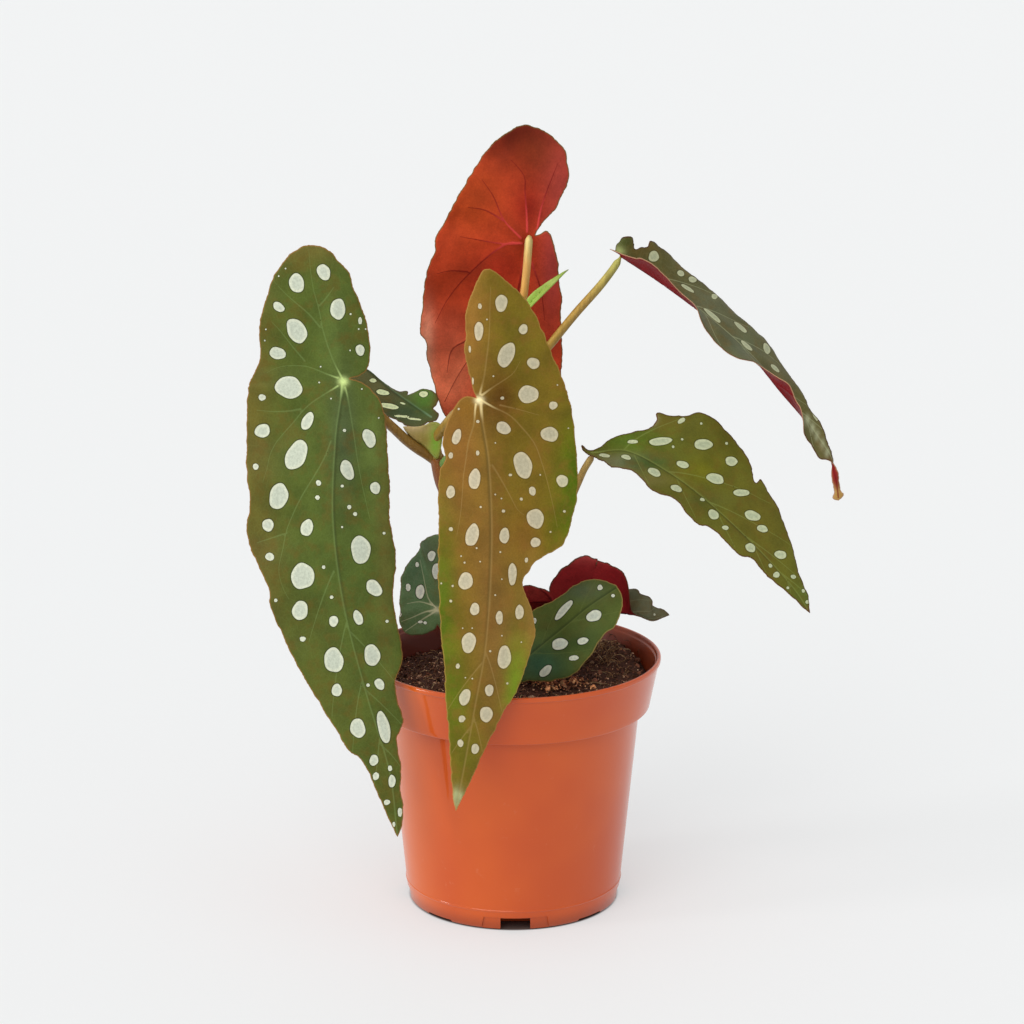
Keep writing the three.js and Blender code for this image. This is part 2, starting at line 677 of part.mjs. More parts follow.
const turned = (line) => solid(
  new THREE.LatheGeometry(line.map(([r, z]) => new THREE.Vector2(r, z)), AROUND).rotateX(Math.PI / 2),
);

// A block that stands across the foot slot number i, from one radius to another
function slotBlock(i, from, to, low, high, width) {
  const block = new THREE.BoxGeometry(to - from, width, high - low);
  block.translate((from + to) / 2, 0, (low + high) / 2);
  const angle = 360 * (i / FOOT_SLOTS) - 90 + SLOT_TURN;
  return solid(block.rotateZ(THREE.MathUtils.degToRad(angle)));
}

const SLOT_END = BASE_RADIUS - SLOT_DEPTH;
const WALL_LEAN = (SHOULDER_RADIUS - BASE_RADIUS) / (BAND_FOOT - BASE_EDGE);

// The foot's openings, as [number of the place, depth, height, width] each
const OPENINGS = [];
for (let i = 0; i < FOOT_SLOTS; i++) {
  OPENINGS.push([i, SLOT_DEPTH, SLOT_HEIGHT, SLOT_WIDTH]);
  OPENINGS.push([i + 0.5, NOTCH_DEPTH, NOTCH_HEIGHT, NOTCH_WIDTH]);
}

// The raised floor over one of the foot's openings
const pad = ([i, depth, height, width], grow) => slotBlock(
  i, BASE_RADIUS - depth - WALL - grow, BASE_RADIUS - WALL + 0.3, 0.5, height + WALL + grow,
  width + 2 * (WALL + grow),
);

// The pot: one lathed wall and floor, raised over the foot's openings, with a drain in each slot
function pot() {
  const outside = [
    [RIM_RADIUS - WALL, POT_HEIGHT], [RIM_RADIUS - 0.5, POT_HEIGHT], [RIM_RADIUS, POT_HEIGHT - 0.4],
    [RIM_RADIUS, POT_HEIGHT - 1.2], [RIM_RADIUS - 0.6, POT_HEIGHT - 1.6],
    [BAND_FOOT_RADIUS, BAND_FOOT + 1], [BAND_FOOT_RADIUS - 0.5, BAND_FOOT],
    [BAND_FOOT_RADIUS - 2, BAND_FOOT - 0.8], [SHOULDER_RADIUS, BAND_FOOT - 1.2],
    [BASE_RADIUS, BASE_EDGE], [BASE_RADIUS - 0.35, 0.4], [BASE_RADIUS - BASE_EDGE, 0], [0, 0],
  ];
  const panelFace = BASE_RADIUS - PANEL_DEPTH;
  const skin = turned([
    [panelFace, -1], [panelFace + WALL_LEAN * PANEL_HEIGHT, PANEL_HEIGHT],
    [BASE_RADIUS + PAST, PANEL_HEIGHT], [BASE_RADIUS + PAST, -1], [panelFace, -1],
  ]);
  let body = turned([...INSIDE, ...outside]);
  const outer = BASE_RADIUS + PAST;
  for (const opening of OPENINGS) {
    const [i, depth, height, width] = opening;
    body = body.add(pad(opening, 0));
    body = body.subtract(slotBlock(i, BASE_RADIUS - depth, outer, -PAST, height, width));
  }
  for (let i = 0; i < FOOT_SLOTS; i++) {
    const drain = slotBlock(
      i, SLOT_END + DRAIN_INSET, SLOT_END + DRAIN_INSET + DRAIN, 0, SLOT_HEIGHT + PAST,
      SLOT_WIDTH - 2 * DRAIN_INSET,
    );
    const panel = slotBlock(i, SLOT_END, outer, -PAST, POT_HEIGHT, PANEL_WIDTH).intersect(skin);
    body = body.subtract(drain).subtract(panel);
  }
  return geometryOf(body);
}

// The soil fills the pot to just under the rim and has a plain hole for each stem in it
function soil(rooted) {
  const wall = shifted(INSIDE, GAP + 0.05);
  const [lower, upper] = wall.slice(-2);
  const part = (SOIL_TOP - 1.5 - lower[1]) / (upper[1] - lower[1]);
  const edge = lower[0] + (upper[0] - lower[0]) * part;
  let body = turned([
    ...wall.slice(0, -1), [edge, SOIL_TOP - 1.5], [edge - 2, SOIL_TOP],
    [edge / 2, SOIL_TOP + SOIL_MOUND * 0.8], [0, SOIL_TOP + SOIL_MOUND],
  ]);
  for (const opening of OPENINGS) body = body.subtract(pad(opening, GAP));
  for (const data of rooted) body = body.subtract(solid(stem(data, GAP)));
  return geometryOf(body);
}

add('pot', pot(), material(0xc0562a, 0.32));

for (const [name, data] of Object.entries(STEMS)) {
  add(`cane_${name}`, stem(data), material(0x8a5230, 0.5));
}

for (const [name, leaf] of Object.entries(LEAVES)) {
  leaf.stalk.points.push(leaf.spine[leaf.stalkAt]);
  add(`leaf_${name}`, blade(leaf), material(leaf.color, 0.45));
  const neighbours = [blade(leaf, GAP)];
  if (leaf.stem) neighbours.push(stem(STEMS[leaf.stem], GAP));
  if (name === 'front') neighbours.push(stem(LEAVES.left.stalk, GAP));
  if (name === 'behind_left') neighbours.push(stem(LEAVES.left.stalk, GAP), stem(LEAVES.front.stalk, GAP));
  add(`stalk_${name}`, beside(stem(leaf.stalk), ...neighbours), material(0xa8823c, 0.45));
}

const rooted = [STEMS.left, STEMS.right];
for (const leaf of Object.values(LEAVES)) if (!leaf.stem) rooted.push(leaf.stalk);
add('soil', soil(rooted), material(0x3a2618, 0.95));

const crown = [STEMS.left, LEAVES.left.stalk, LEAVES.front.stalk, LEAVES.behind_left.stalk];
const crownGrown = crown.map((data) => stem(data, GAP));
add('sheath_left', beside(blade(SHEATH), ...crownGrown), material(0x8f9a3a, 0.5));
add('bud_left', beside(stem(BUD), ...crownGrown, blade(SHEATH, GAP)), material(0x86a04a, 0.5));
const topGrown = [stem(STEMS.right, GAP), stem(LEAVES.back.stalk, GAP)];
add('bract_top', beside(blade(BRACT), ...topGrown), material(0x8fae4c, 0.5));

export default SCENE;
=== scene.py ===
import math
import random

import bmesh
import bpy
import numpy as np
from mathutils import Matrix, Vector, geometry, noise


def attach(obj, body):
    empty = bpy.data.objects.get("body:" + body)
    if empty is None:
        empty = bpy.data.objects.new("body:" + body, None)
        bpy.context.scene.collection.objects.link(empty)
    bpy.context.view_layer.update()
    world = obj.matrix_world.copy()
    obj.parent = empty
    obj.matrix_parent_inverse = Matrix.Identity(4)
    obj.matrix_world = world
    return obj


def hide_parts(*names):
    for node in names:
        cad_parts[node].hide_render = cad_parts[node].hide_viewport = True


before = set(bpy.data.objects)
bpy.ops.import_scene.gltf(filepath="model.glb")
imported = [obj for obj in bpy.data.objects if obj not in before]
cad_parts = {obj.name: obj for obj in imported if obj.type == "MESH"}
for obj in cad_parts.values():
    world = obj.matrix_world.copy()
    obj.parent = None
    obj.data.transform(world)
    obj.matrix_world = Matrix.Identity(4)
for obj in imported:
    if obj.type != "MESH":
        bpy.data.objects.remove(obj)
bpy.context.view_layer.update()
MM = 0.001

# The photo's view: the camera's distance, its height angle, its focal length in pixels and
# the point that it looks at
VIEW_DISTANCE = 1300
VIEW_PITCH = math.radians(14.6)
VIEW_FOCAL_PX = 3230
VIEW_TARGET = np.array([-0.6, 0, 162.5])
PHOTO_PX = 1024
VIEW_UP = np.array([0, math.sin(VIEW_PITCH), math.cos(VIEW_PITCH)])
VIEW_AHEAD = np.array([0, math.cos(VIEW_PITCH), -math.sin(VIEW_PITCH)])
VIEW_FROM = VIEW_TARGET - VIEW_DISTANCE * VIEW_AHEAD

# The pot, as in the part's source
POT_HEIGHT = 103
RIM_RADIUS = 60
RIM_BAND = 20
BAND_FOOT_RADIUS = 56
SHOULDER_RADIUS = 51.5
BASE_RADIUS = 43.5
WALL = 1.5
FOOT_SLOTS = 4
SLOT_TURN = math.radians(1)
SLOT_WIDTH = 10.8
SLOT_HEIGHT = 5
SLOT_DEPTH = 10
DRAIN = 4.5
DRAIN_INSET = 2
NOTCH_WIDTH = 13.4
NOTCH_HEIGHT = 1.3
NOTCH_DEPTH = 5
PANEL_WIDTH = 25
PANEL_HEIGHT = 5.4
PANEL_DEPTH = 0.55
SOIL_TOP = 91.5
ROOT_DEPTH = 70  # height at which the stems end in the soil

# The pot's finer form and its looks
POT_LEAN = (SHOULDER_RADIUS - BASE_RADIUS) / (POT_HEIGHT - RIM_BAND - 2.5)
RIM_LEAN = (RIM_RADIUS - BAND_FOOT_RADIUS) / RIM_BAND
SEAM = 8.2  # height of the fine ridge above the foot
SLOT_FLARE = 1.2
# painted light: the pot's left side is painted paler, as if lit from the left
PAINTED_LIGHT_FROM, PAINTED_LIGHT_TO = -54, -22  # the left side, paler up to here
# painted shade at the pot's foot reaches up to this height
FOOT_SHADE_HEIGHT = 7

# The soil: where its heaps are, and its colours
BACK_HEAP = (41, 27)
BACK_HEAP_RISE = 6.5
FRONT_HEAP = (17, -9)
FRONT_HEAP_RISE = 2.6
CRUMBS = 7000
BIG_CRUMBS = 0.04  # the share of them that are big
FIBRES = 520
FIBRE_POINTS = 7
SOIL_BROWN = "4c3024"
SOIL_HUES = ["3a2418", "482c20", "2a180f", "543426", "402a1e", "5e3c2c", "765640", "a4846a"]
HEAP_HUES = ["8c5a3e", "a8744e", "6e4632", "c49468", "5c3826"]
FIBRE_HUES = ["7a5a3c", "a8855c", "5a3c28", "c0a47c", "8a6a48"]

# The leaf blades
BLADE = 0.55  # thickness in the middle
THIN_EDGE = 0.45  # of that thickness, at the edge
EDGE_WIDTH = 1.5
PUFF = 0.35  # how far the blade rises between its veins
PUFF_WIDTH = 3.5
PUFF_MARGIN = 4  # towards the edge, where it comes down again
VEIN_GROOVE = 0.3  # how deep a vein lies above, for its width
VEIN_RIDGE = 0.9  # how far it stands out below, for its width
STALK_END = 0.7  # how far under the blade a stalk ends
FINE = 0.85  # spacing of the mesh
DOT_SIZE = 0.96  # of the size read in the photo, which has a dark rim round it
DOT_MIDDLE = (0.84, 0.87, 0.9)
TINY_DOT = 1.69  # a smaller dot has a narrower rim
HIDDEN_DOTS = (0.5, 0.6, 1.2, 1.8, 2.6, 3.2)

# The side from which light is painted onto the stems: they are painted palest there, as painted light
PAINTED_LIGHT_SIDE = np.array([-0.52, -0.78, 0.35])

# The floor, which glows a little and is painted darker under the pot as painted shade, and the light from all
# round
FLOOR_GREY = (0.447, 0.447, 0.449, 1)
FLOOR_GLOW_TINT = (0.965, 0.995, 1, 1)
FLOOR_GLOW = 0.43
PAINTED_SHADE_UNDER_POT = (0.12, 0.09, 0.08, 1)
SKY_LIGHT = 0.75


# The leaves and stems, as in the part's source, but with the upper right leaf up to 2 mm wider
LEAVES = {
    "left": {
        "spine": [
            [-72, -17, 267.5], [-69, -20, 244], [-67, -24, 221], [-69.5, -30, 199.5], [-70.5, -37, 169],
            [-66.5, -43, 136], [-58, -48, 102], [-49, -50, 70], [-46, -49, 42],
        ],
        "stalk_at": 2,
        "face": [-0.1, -0.95, 0.25],
        "hand": 1,
        "rise": {
            "wide": [-8, -10, -12, -14, -12, -10, -8, -6, -4],
            "narrow": [-8, -12, -16, -20, -18, -14, -10, -8, -4],
        },
        "curl": -0.004,
        "wave": [0.9, 34, 0.5],
        "wide": [
            [-54.7, 6], [-52.7, 14], [-44.5, 22.6], [-36, 27], [-25, 31], [-13, 33], [-3, 37], [8, 38],
            [22, 37.5], [35, 36], [47, 34], [55, 36], [62, 35], [71, 31], [78, 29], [86, 29.5], [100, 25.5],
            [118, 21], [135, 16], [145, 13.5], [150, 10], [167, 6], [181, 1.5], [184.5, 0],
        ],
        "lobe": [
            [-54.7, 6], [-52, -0.5], [-47, -4], [-42, -7.5], [-35, -8.5], [-30, -10], [-19, -12],
            [-9, -11.5], [-4, -9.5], [-1.5, -3],
        ],
        "narrow": [
            [-1.5, -3], [0, -8], [4, -14], [10, -18], [18, -20], [37, -22], [54, -22.5], [72, -23],
            [87, -20], [105, -18.5], [114, -17.5], [122, -12.5], [130, -11], [139, -10.5], [145, -6],
            [155, -5], [165, -3], [171, -3.5], [180, -2], [184.5, 0],
        ],
        "stalk": {
            "points": [
                [-30, -3.5, 184.5], [-34, -4.5, 187.5], [-38, -7, 190.5], [-42.5, -9.5, 194.5],
                [-46.5, -12, 199], [-51, -14.5, 204], [-57, -17.5, 211.5], [-66.5, -21.5, 220],
            ],
            "radii": [2.6, 2.1, 1.9, 1.8, 1.7],
        },
    },
    "front": {
        "spine": [
            [-9.5, -40, 266.5], [-9.5, -42, 241.5], [-12.5, -45, 217.5], [-9.5, -51, 194.5],
            [-8.5, -58, 164.5], [-10.5, -65, 128.5], [-15, -68, 102], [-19, -70, 79.5], [-22.5, -70, 60.5],
        ],
        "stalk_at": 2,
        "face": [0.12, -0.95, 0.2],
        "hand": -1,
        "rise": {
            "wide": [-8, -10, -12, -14, -12, -10, -8, -6, -4],
            "narrow": [-14, -16, -20, -24, -22, -18, -12, -8, -4],
        },
        "curl": -0.004,
        "wave": [0.8, 31, 1.2],
        "wide": [
            [-52, 0], [-48, 6], [-40, 14], [-32, 19], [-24, 23.5], [-17, 29], [-8, 34], [7, 36], [20, 36],
            [34, 35], [43, 33.5], [53, 30], [56, 27], [60, 19.5], [64, 15.5], [69, 13], [75, 15],
            [80, 17.5], [88, 19], [97, 17.5], [109, 15.5], [121, 11], [136, 6.5], [151, 2.8], [158, 1],
            [161, 0],
        ],
        "lobe": [
            [-52, 0], [-50, -3], [-44, -6], [-36, -9], [-25, -9], [-19, -9], [-12, -6.5], [-5, -3.5],
            [-2, -2],
        ],
        "narrow": [
            [-2, -2], [-2.2, -5], [-1, -8], [1.5, -10.5], [6, -14], [12, -17], [19, -17], [26, -20],
            [39, -21], [54, -21], [70, -20.5], [91, -18], [108, -14], [120, -11], [138, -6.5], [152, -3],
            [161, 0],
        ],
        "stalk": {
            "points": [
                [-30.3, -5, 186], [-31, -6, 193.5], [-26.5, -14, 202], [-21.5, -26, 210], [-15, -38, 215.8],
                [-12.8, -42.6, 217],
            ],
            "radii": [2.3, 2, 1.9, 1.7, 1.6],
        },
    },
    "back": {
        "spine": [
            [7, 12, 316], [7.5, 9, 295.5], [6, 9, 273], [1, 18, 245.5], [-4.5, 29, 214.5], [-7, 38, 183.5],
            [-6, 43, 156.5], [-4.5, 45, 133.5],
        ],
        "stalk_at": 2,
        "face": [0, 0.95, 0.15],
        "hand": -1,
        "rise": {
            "wide": [-4, -6, -8, -8, -8, -6, -4, -2],
            "narrow": [-4, -6, -8, -8, -8, -6, -4, -2],
        },
        "wave": [1, 33, 2],
        "wide": [
            [-44.5, 2], [-41, 11], [-35, 18], [-25, 24.5], [-12, 31], [-2, 34.5], [4, 37], [10, 36.5],
            [19, 38], [32, 37.5], [47, 36], [51, 33], [60, 31.5], [75, 25.5], [93, 18], [118, 10],
            [137, 3.5], [145.5, 0],
        ],
        "lobe": [
            [-44.5, 2], [-41, -6.5], [-36.8, -10.7], [-33, -13.2], [-28, -14], [-23, -14.4], [-17, -12],
            [-12, -9.4], [-7.5, -6], [-4, -3.6], [-1, -2.6],
        ],
        "narrow": [
            [-1, -2.6], [-2, -4.8], [-3.4, -6.4], [-2.6, -8], [1, -10.2], [8, -13.2], [17, -15.5],
            [24, -18], [33, -19.3], [46, -22.3], [58, -23.8], [76, -23], [88, -21], [104, -17], [118, -12],
            [132, -6.5], [145.5, 0],
        ],
        "stalk": {
            "points": [
                [1.8, 4.7, 236], [2.6, 4.5, 242], [3.8, 4.8, 248], [5.2, 5.3, 260], [6.2, 6.8, 272.5],
            ],
            "radii": [1.7, 1.6, 1.6, 1.6],
        },
    },
    "upper_right": {
        "spine": [
            [40, 3, 268.5], [42.5, 0, 267], [56, -2, 258.5], [69.5, -4, 249], [82, -7, 239.5],
            [95.2, -10, 227.5], [105.6, -12, 215.1], [114.2, -13, 205.2], [121, -13, 196], [126, -12, 188],
            [128, -11, 179.5], [129.5, -10, 170.5],
        ],
        "stalk_at": 1,
        "face": [0, 0, 1],
        "hand": -1,
        "rise": {
            "wide": [70, 60, 30, 18, 12, 12, 12, 12, 10, 10, 10, 0],
            "narrow": [20, 30, 33, 22, -16, 6, 34, 24, 10, 10, 10, 0],
        },
        "turn": [0, 0, 0, 0, 0, 0, 0, 24, 75, 60, -70, -70],
        "wave": [0.5, 27, 0.4],
        "wide": [
            [-4, 0], [-5, 3], [-3, 6.5], [-1, 8.5], [1.5, 7], [3, 5.5], [5, 7.7], [7, 10], [6.5, 13],
            [10.5, 14.5], [18, 16.6], [34, 17], [42, 18.2], [52, 18], [60, 17.6], [68, 19], [80, 17.2],
            [90.5, 11], [96, 6], [99, 4.8], [104, 4], [108, 3], [116, 1], [121, 1.2], [127, 1.6],
            [132, 1.3], [134.5, 2.2], [136, 0],
        ],
        "lobe": [[-4, 0], [-3, -3], [0, -2.5]],
        "narrow": [
            [0, -2.5], [4.7, -5.5], [7.7, -9.5], [13, -9.7], [20, -7], [29, -3.5], [34, -6], [40, -11],
            [48.5, -11], [57, -13.5], [62, -14.5], [65, -12.5], [68, -8], [76, -8], [82, -10.5],
            [88.5, -7.5], [92, -10.2], [96, -10.4], [99, -8.6], [103, -6], [107, -4.5], [114, -5],
            [117, -2.4], [121, -1.2], [127, -1.6], [132, -1.4], [134, -2.6], [136, 0],
        ],
        "stalk": {
            "points": [
                [0.6, 4.3, 211], [6.5, 3.5, 221], [14.5, 3, 230.6], [24.5, 2.5, 243.2], [33.5, 2, 253.6],
                [38.5, 1.2, 260.2], [41.3, 0.5, 264.6],
            ],
            "radii": [2, 1.75, 1.7, 1.65, 1.4],
        },
    },
    "lower_right": {
        "spine": [
            [26.5, -4, 191], [31, -8, 189], [45, -14, 191], [60.5, -21, 184.5], [75.5, -27, 174.5],
            [94, -32, 158], [109, -35, 142], [117, -36, 130.5],
        ],
        "stalk_at": 1,
        "face": [0.25, -0.7, 0.65],
        "hand": -1,
        "rise": {"wide": [0, 10, 10, 4, 0, -4, -4, -2], "narrow": [0, 8, 12, 12, 10, 6, 2, 0]},
        "curl": -0.003,
        "wave": [0.7, 26, 0],
        "wide": [
            [-6, 0.5], [-2, 1], [2, 1.5], [8, 5], [14, 8], [19, 13], [19.5, 17], [18.5, 20.5], [22, 22],
            [26, 25], [30, 29], [36, 30.5], [43, 31], [50, 29], [56, 26], [62.5, 21.5], [63.5, 24.5],
            [69, 23.5], [75, 22], [82, 17.5], [91, 12.5], [101, 6], [109, 3.5], [114, 0],
        ],
        "lobe": [[-6, 0.5], [-3, -1], [1, -2]],
        "narrow": [
            [1, -2], [7, -6], [12, -10], [18, -11], [24, -10], [29, -11.5], [36, -13.5], [44, -10.5],
            [52, -12.5], [57, -12.5], [61, -9.5], [68, -9], [77, -9], [82, -5.5], [90, -6], [97, -4.5],
            [106, -2.5], [114, 0],
        ],
        "stalk": {
            "points": [
                [-2.2, 3.2, 134], [6.5, 2, 142], [14.5, 0, 152.5], [21.5, -2, 165], [25.5, -3.6, 174.5],
                [28.3, -5.2, 181.5], [31.3, -6.6, 187],
            ],
            "radii": [2, 1.6, 1.5, 1.4, 1.4],
        },
    },
    "behind_left": {
        "spine": [
            [-29, 7, 197.5], [-33, 11, 199], [-40.5, 20, 202], [-48, 28, 205.5], [-54, 34, 209],
            [-60, 38, 213], [-66.5, 44, 213], [-72.5, 50, 207.5],
        ],
        "stalk_at": 1,
        "face": [-0.1, -0.35, 0.93],
        "hand": 1,
        "rise": {
            "wide": [30, 24, 18, 0, -60, -75, -70, -40],
            "narrow": [10, -10, -20, -20, -20, -20, -20, -10],
        },
        "wave": [0.4, 22, 1],
        "wide": [
            [-3, 0], [-1.5, 3], [2.8, 3.3], [3, 5.5], [4.5, 7.6], [7.5, 9.2], [11, 9.6], [15, 8.7],
            [17.3, 5.8], [18.5, 2], [20, 3.6], [21.5, 3.2], [22.5, 1.6], [26, 0.8], [31, 1.6], [36, 4.5],
            [43, 8], [51, 8.5], [58, 5], [63, 0],
        ],
        "lobe": [[-3, 0], [-2, -2], [-0.8, -3]],
        "narrow": [
            [-0.8, -3], [-0.8, -5], [0.5, -8], [7.4, -9.2], [14, -9.6], [20, -11], [28, -13], [38, -15],
            [48, -13], [57, -8], [63, 0],
        ],
        "stalk": {
            "points": [[-30.8, -5, 186.5], [-31.5, -1, 188.5], [-32.7, 6.5, 191.5], [-33.2, 11.2, 196]],
            "radii": [2, 1.7, 1.5],
        },
    },
    "low_left": {
        "spine": [
            [-45.5, 8, 118], [-31, 12, 117.5], [-20, 20, 117], [-9.5, 27, 116.5], [-0.5, 32, 116.5],
        ],
        "stalk_at": 1,
        "face": [0.2, -0.8, 0.55],
        "hand": -1,
        "rise": {"wide": [-6, -8, -8, -6, -4], "narrow": [-10, -12, -12, -10, -6]},
        "wave": [0.5, 24, 0.6],
        "wide": [
            [-16, 0], [-15.5, 5], [-14.5, 10], [-13.5, 16], [-11, 21], [-7, 25.5], [-2.5, 28.5], [4, 31],
            [9, 33], [15, 35], [23, 31.5], [30, 22], [34, 10], [36.5, 0],
        ],
        "lobe": [[-16, 0], [-16.5, -4], [-14, -8.5], [-8, -9.5], [-3, -8], [-1, -5.5]],
        "narrow": [[-1, -5.5], [1, -8.5], [4, -10], [10, -10], [20, -9.5], [29, -7], [36.5, 0]],
        "stalk": {
            "points": [
                [-20, 14, ROOT_DEPTH], [-20, 14, 82], [-20.5, 14.2, 92], [-25, 16, 105],
                [-31.6, 13.8, 115.6],
            ],
            "radii": [1.8, 1.7, 1.6, 1.4],
        },
    },
    "low_front": {
        "spine": [
            [0.5, -14, 101], [10.5, -15, 110], [20.5, -15, 118.5], [30.5, -13, 126.5], [42, -8, 133],
        ],
        "stalk_at": 0,
        "face": [-0.15, -0.85, 0.45],
        "hand": 1,
        "rise": {"wide": [-4, -4, -4, -4, 0], "narrow": [-10, -14, -14, -14, -10]},
        "wave": [0.5, 25, 0],
        "wide": [
            [-5, 0], [-3, 5], [2, 8], [6, 11.5], [10, 14], [18, 17], [26, 16], [32, 14], [38, 12.5],
            [44, 12], [50, 8], [53.5, 3], [54, -1],
        ],
        "lobe": [[-5, 0], [-4, -5], [0, -4]],
        "narrow": [
            [0, -4], [6, -10], [14, -14], [20, -15], [27, -13.5], [34, -12], [40, -12], [45, -11], [50, -8],
            [54, -1],
        ],
        "stalk": {
            "points": [
                [-6, -9, ROOT_DEPTH], [-6, -9, 80], [-5.5, -9, 90], [-3, -10, 95.5], [0.9, -11.8, 99.6],
            ],
            "radii": [1.7, 1.7, 1.6, 1.4],
        },
    },
    "low_right": {
        "spine": [
            [6, 8, 123.5], [15.5, 10, 122], [29.5, 12, 117.5], [43.5, 12, 117], [50.5, 11, 116],
            [56.5, 10, 114.5], [61.5, 9, 116],
        ],
        "stalk_at": 1,
        "face": [0, 0.97, 0.25],
        "hand": -1,
        "rise": {"wide": [30, 35, 70, 105, 95, 75, 50], "narrow": [0, 0, 0, 0, 0, 0, 0]},
        "turn": [0, 0, 0, 5, 60, 80, 100],
        "wave": [0.3, 22, 0.5],
        "wide": [
            [-13, 0], [-12, 7], [-4, 13], [8, 16], [20, 15], [30, 11.5], [34, 10.4], [35.5, 9], [38.5, 8.5],
            [43, 6.5], [48, 3], [50, 0],
        ],
        "lobe": [
            [-13, 0], [-13.7, -5.5], [-10.5, -6.9], [-6.8, -6.2], [-3.8, -5.3], [-2, -4.5],
        ],
        "narrow": [
            [-2, -4.5], [-2.2, -6.7], [-1.9, -10.2], [-1, -14], [1.2, -19.7], [2.4, -22.9], [3.9, -24.6],
            [5.6, -25.3], [14, -24.3], [23, -23.3], [25.7, -22.1], [28, -21], [29.7, -19.4], [31, -17.4],
            [32.3, -13.8], [33.6, -6.5], [35, -3.1], [37, -2], [42, -1.8], [50, 0],
        ],
        "stalk": {
            "points": [
                [11, 5, ROOT_DEPTH], [11, 5, 82], [11.2, 5, 93], [12.5, 5.5, 108], [15.5, 7.6, 120.8],
            ],
            "radii": [1.8, 1.7, 1.6, 1.4],
        },
    },
}
STEMS = {
    "left": {
        "points": [
            [-14.5, 8, ROOT_DEPTH], [-14.5, 8, 82], [-14.8, 7.8, 93], [-17.5, 6, 124], [-22.5, 2, 154],
            [-27, -2, 172], [-30.5, -5, 186.5],
        ],
        "radii": [3.4, 3.5, 3.3, 3.1, 3.6, 3, 2.9, 2.8, 3.5, 2.8, 2.7, 3.4, 2.8],
    },
    "right": {
        "points": [
            [-5.5, 2, ROOT_DEPTH], [-5.5, 2, 82], [-5.2, 2.1, 93], [-3.2, 3, 115], [-1.8, 3.5, 141],
            [-0.6, 4, 175], [0.6, 4.5, 211], [2, 4.8, 239.5],
        ],
        "radii": [3.4, 3.5, 3.3, 3.1, 3.7, 3, 3, 3.5, 2.9, 2.8, 3.5, 2.6, 2.9, 2.2],
    },
}
SHEATH = {
    "spine": [[-31, -8.5, 187.5], [-35, -8.5, 192], [-39.5, -9.5, 195.5], [-43.5, -11.5, 200]],
    "stalk_at": 0,
    "face": [0, -1, 0.3],
    "hand": 1,
    "rise": {"wide": [12, 12, 12, 12], "narrow": [-75, -75, -75, -75]},
    "ragged": 0.2,
    "wide": [
        [-1, 0], [-0.5, 1.5], [3, 6], [6.5, 10.2], [7.5, 10.5], [9, 9.5], [12, 6.8], [15, 3.6], [18, 0.8],
        [18.5, 0],
    ],
    "lobe": [[-1, 0], [0, -1.5], [3, -2.3]],
    "narrow": [[3, -2.3], [8, -2.6], [13, -2], [18.5, 0]],
}
BRACT = {
    "spine": [[2.8, 3, 241.5], [7.5, 0.4, 248.5], [13.5, -1, 254.8], [19.5, -2, 260.2], [24, -3, 263.5]],
    "stalk_at": 0,
    "face": [-0.4, -0.75, 0.5],
    "hand": 1,
    "rise": {"wide": [40, 34, 26, 18, 10], "narrow": [40, 34, 26, 18, 10]},
    "ragged": 0.1,
    "wide": [[0, 0], [3, 1.6], [10, 2.5], [18, 1.8], [28.5, 0]],
    "lobe": [[0, 0], [1.5, -0.8], [3, -1.4]],
    "narrow": [[3, -1.4], [10, -2.4], [18, -1.6], [28.5, 0]],
}
BUD = {
    "points": [[-28.4, -6.5, 182.5], [-27.6, -8, 185.2], [-27.2, -8.8, 187.8]],
    "radii": [0.9, 1.6, 1.7, 1.2, 0.35],
}
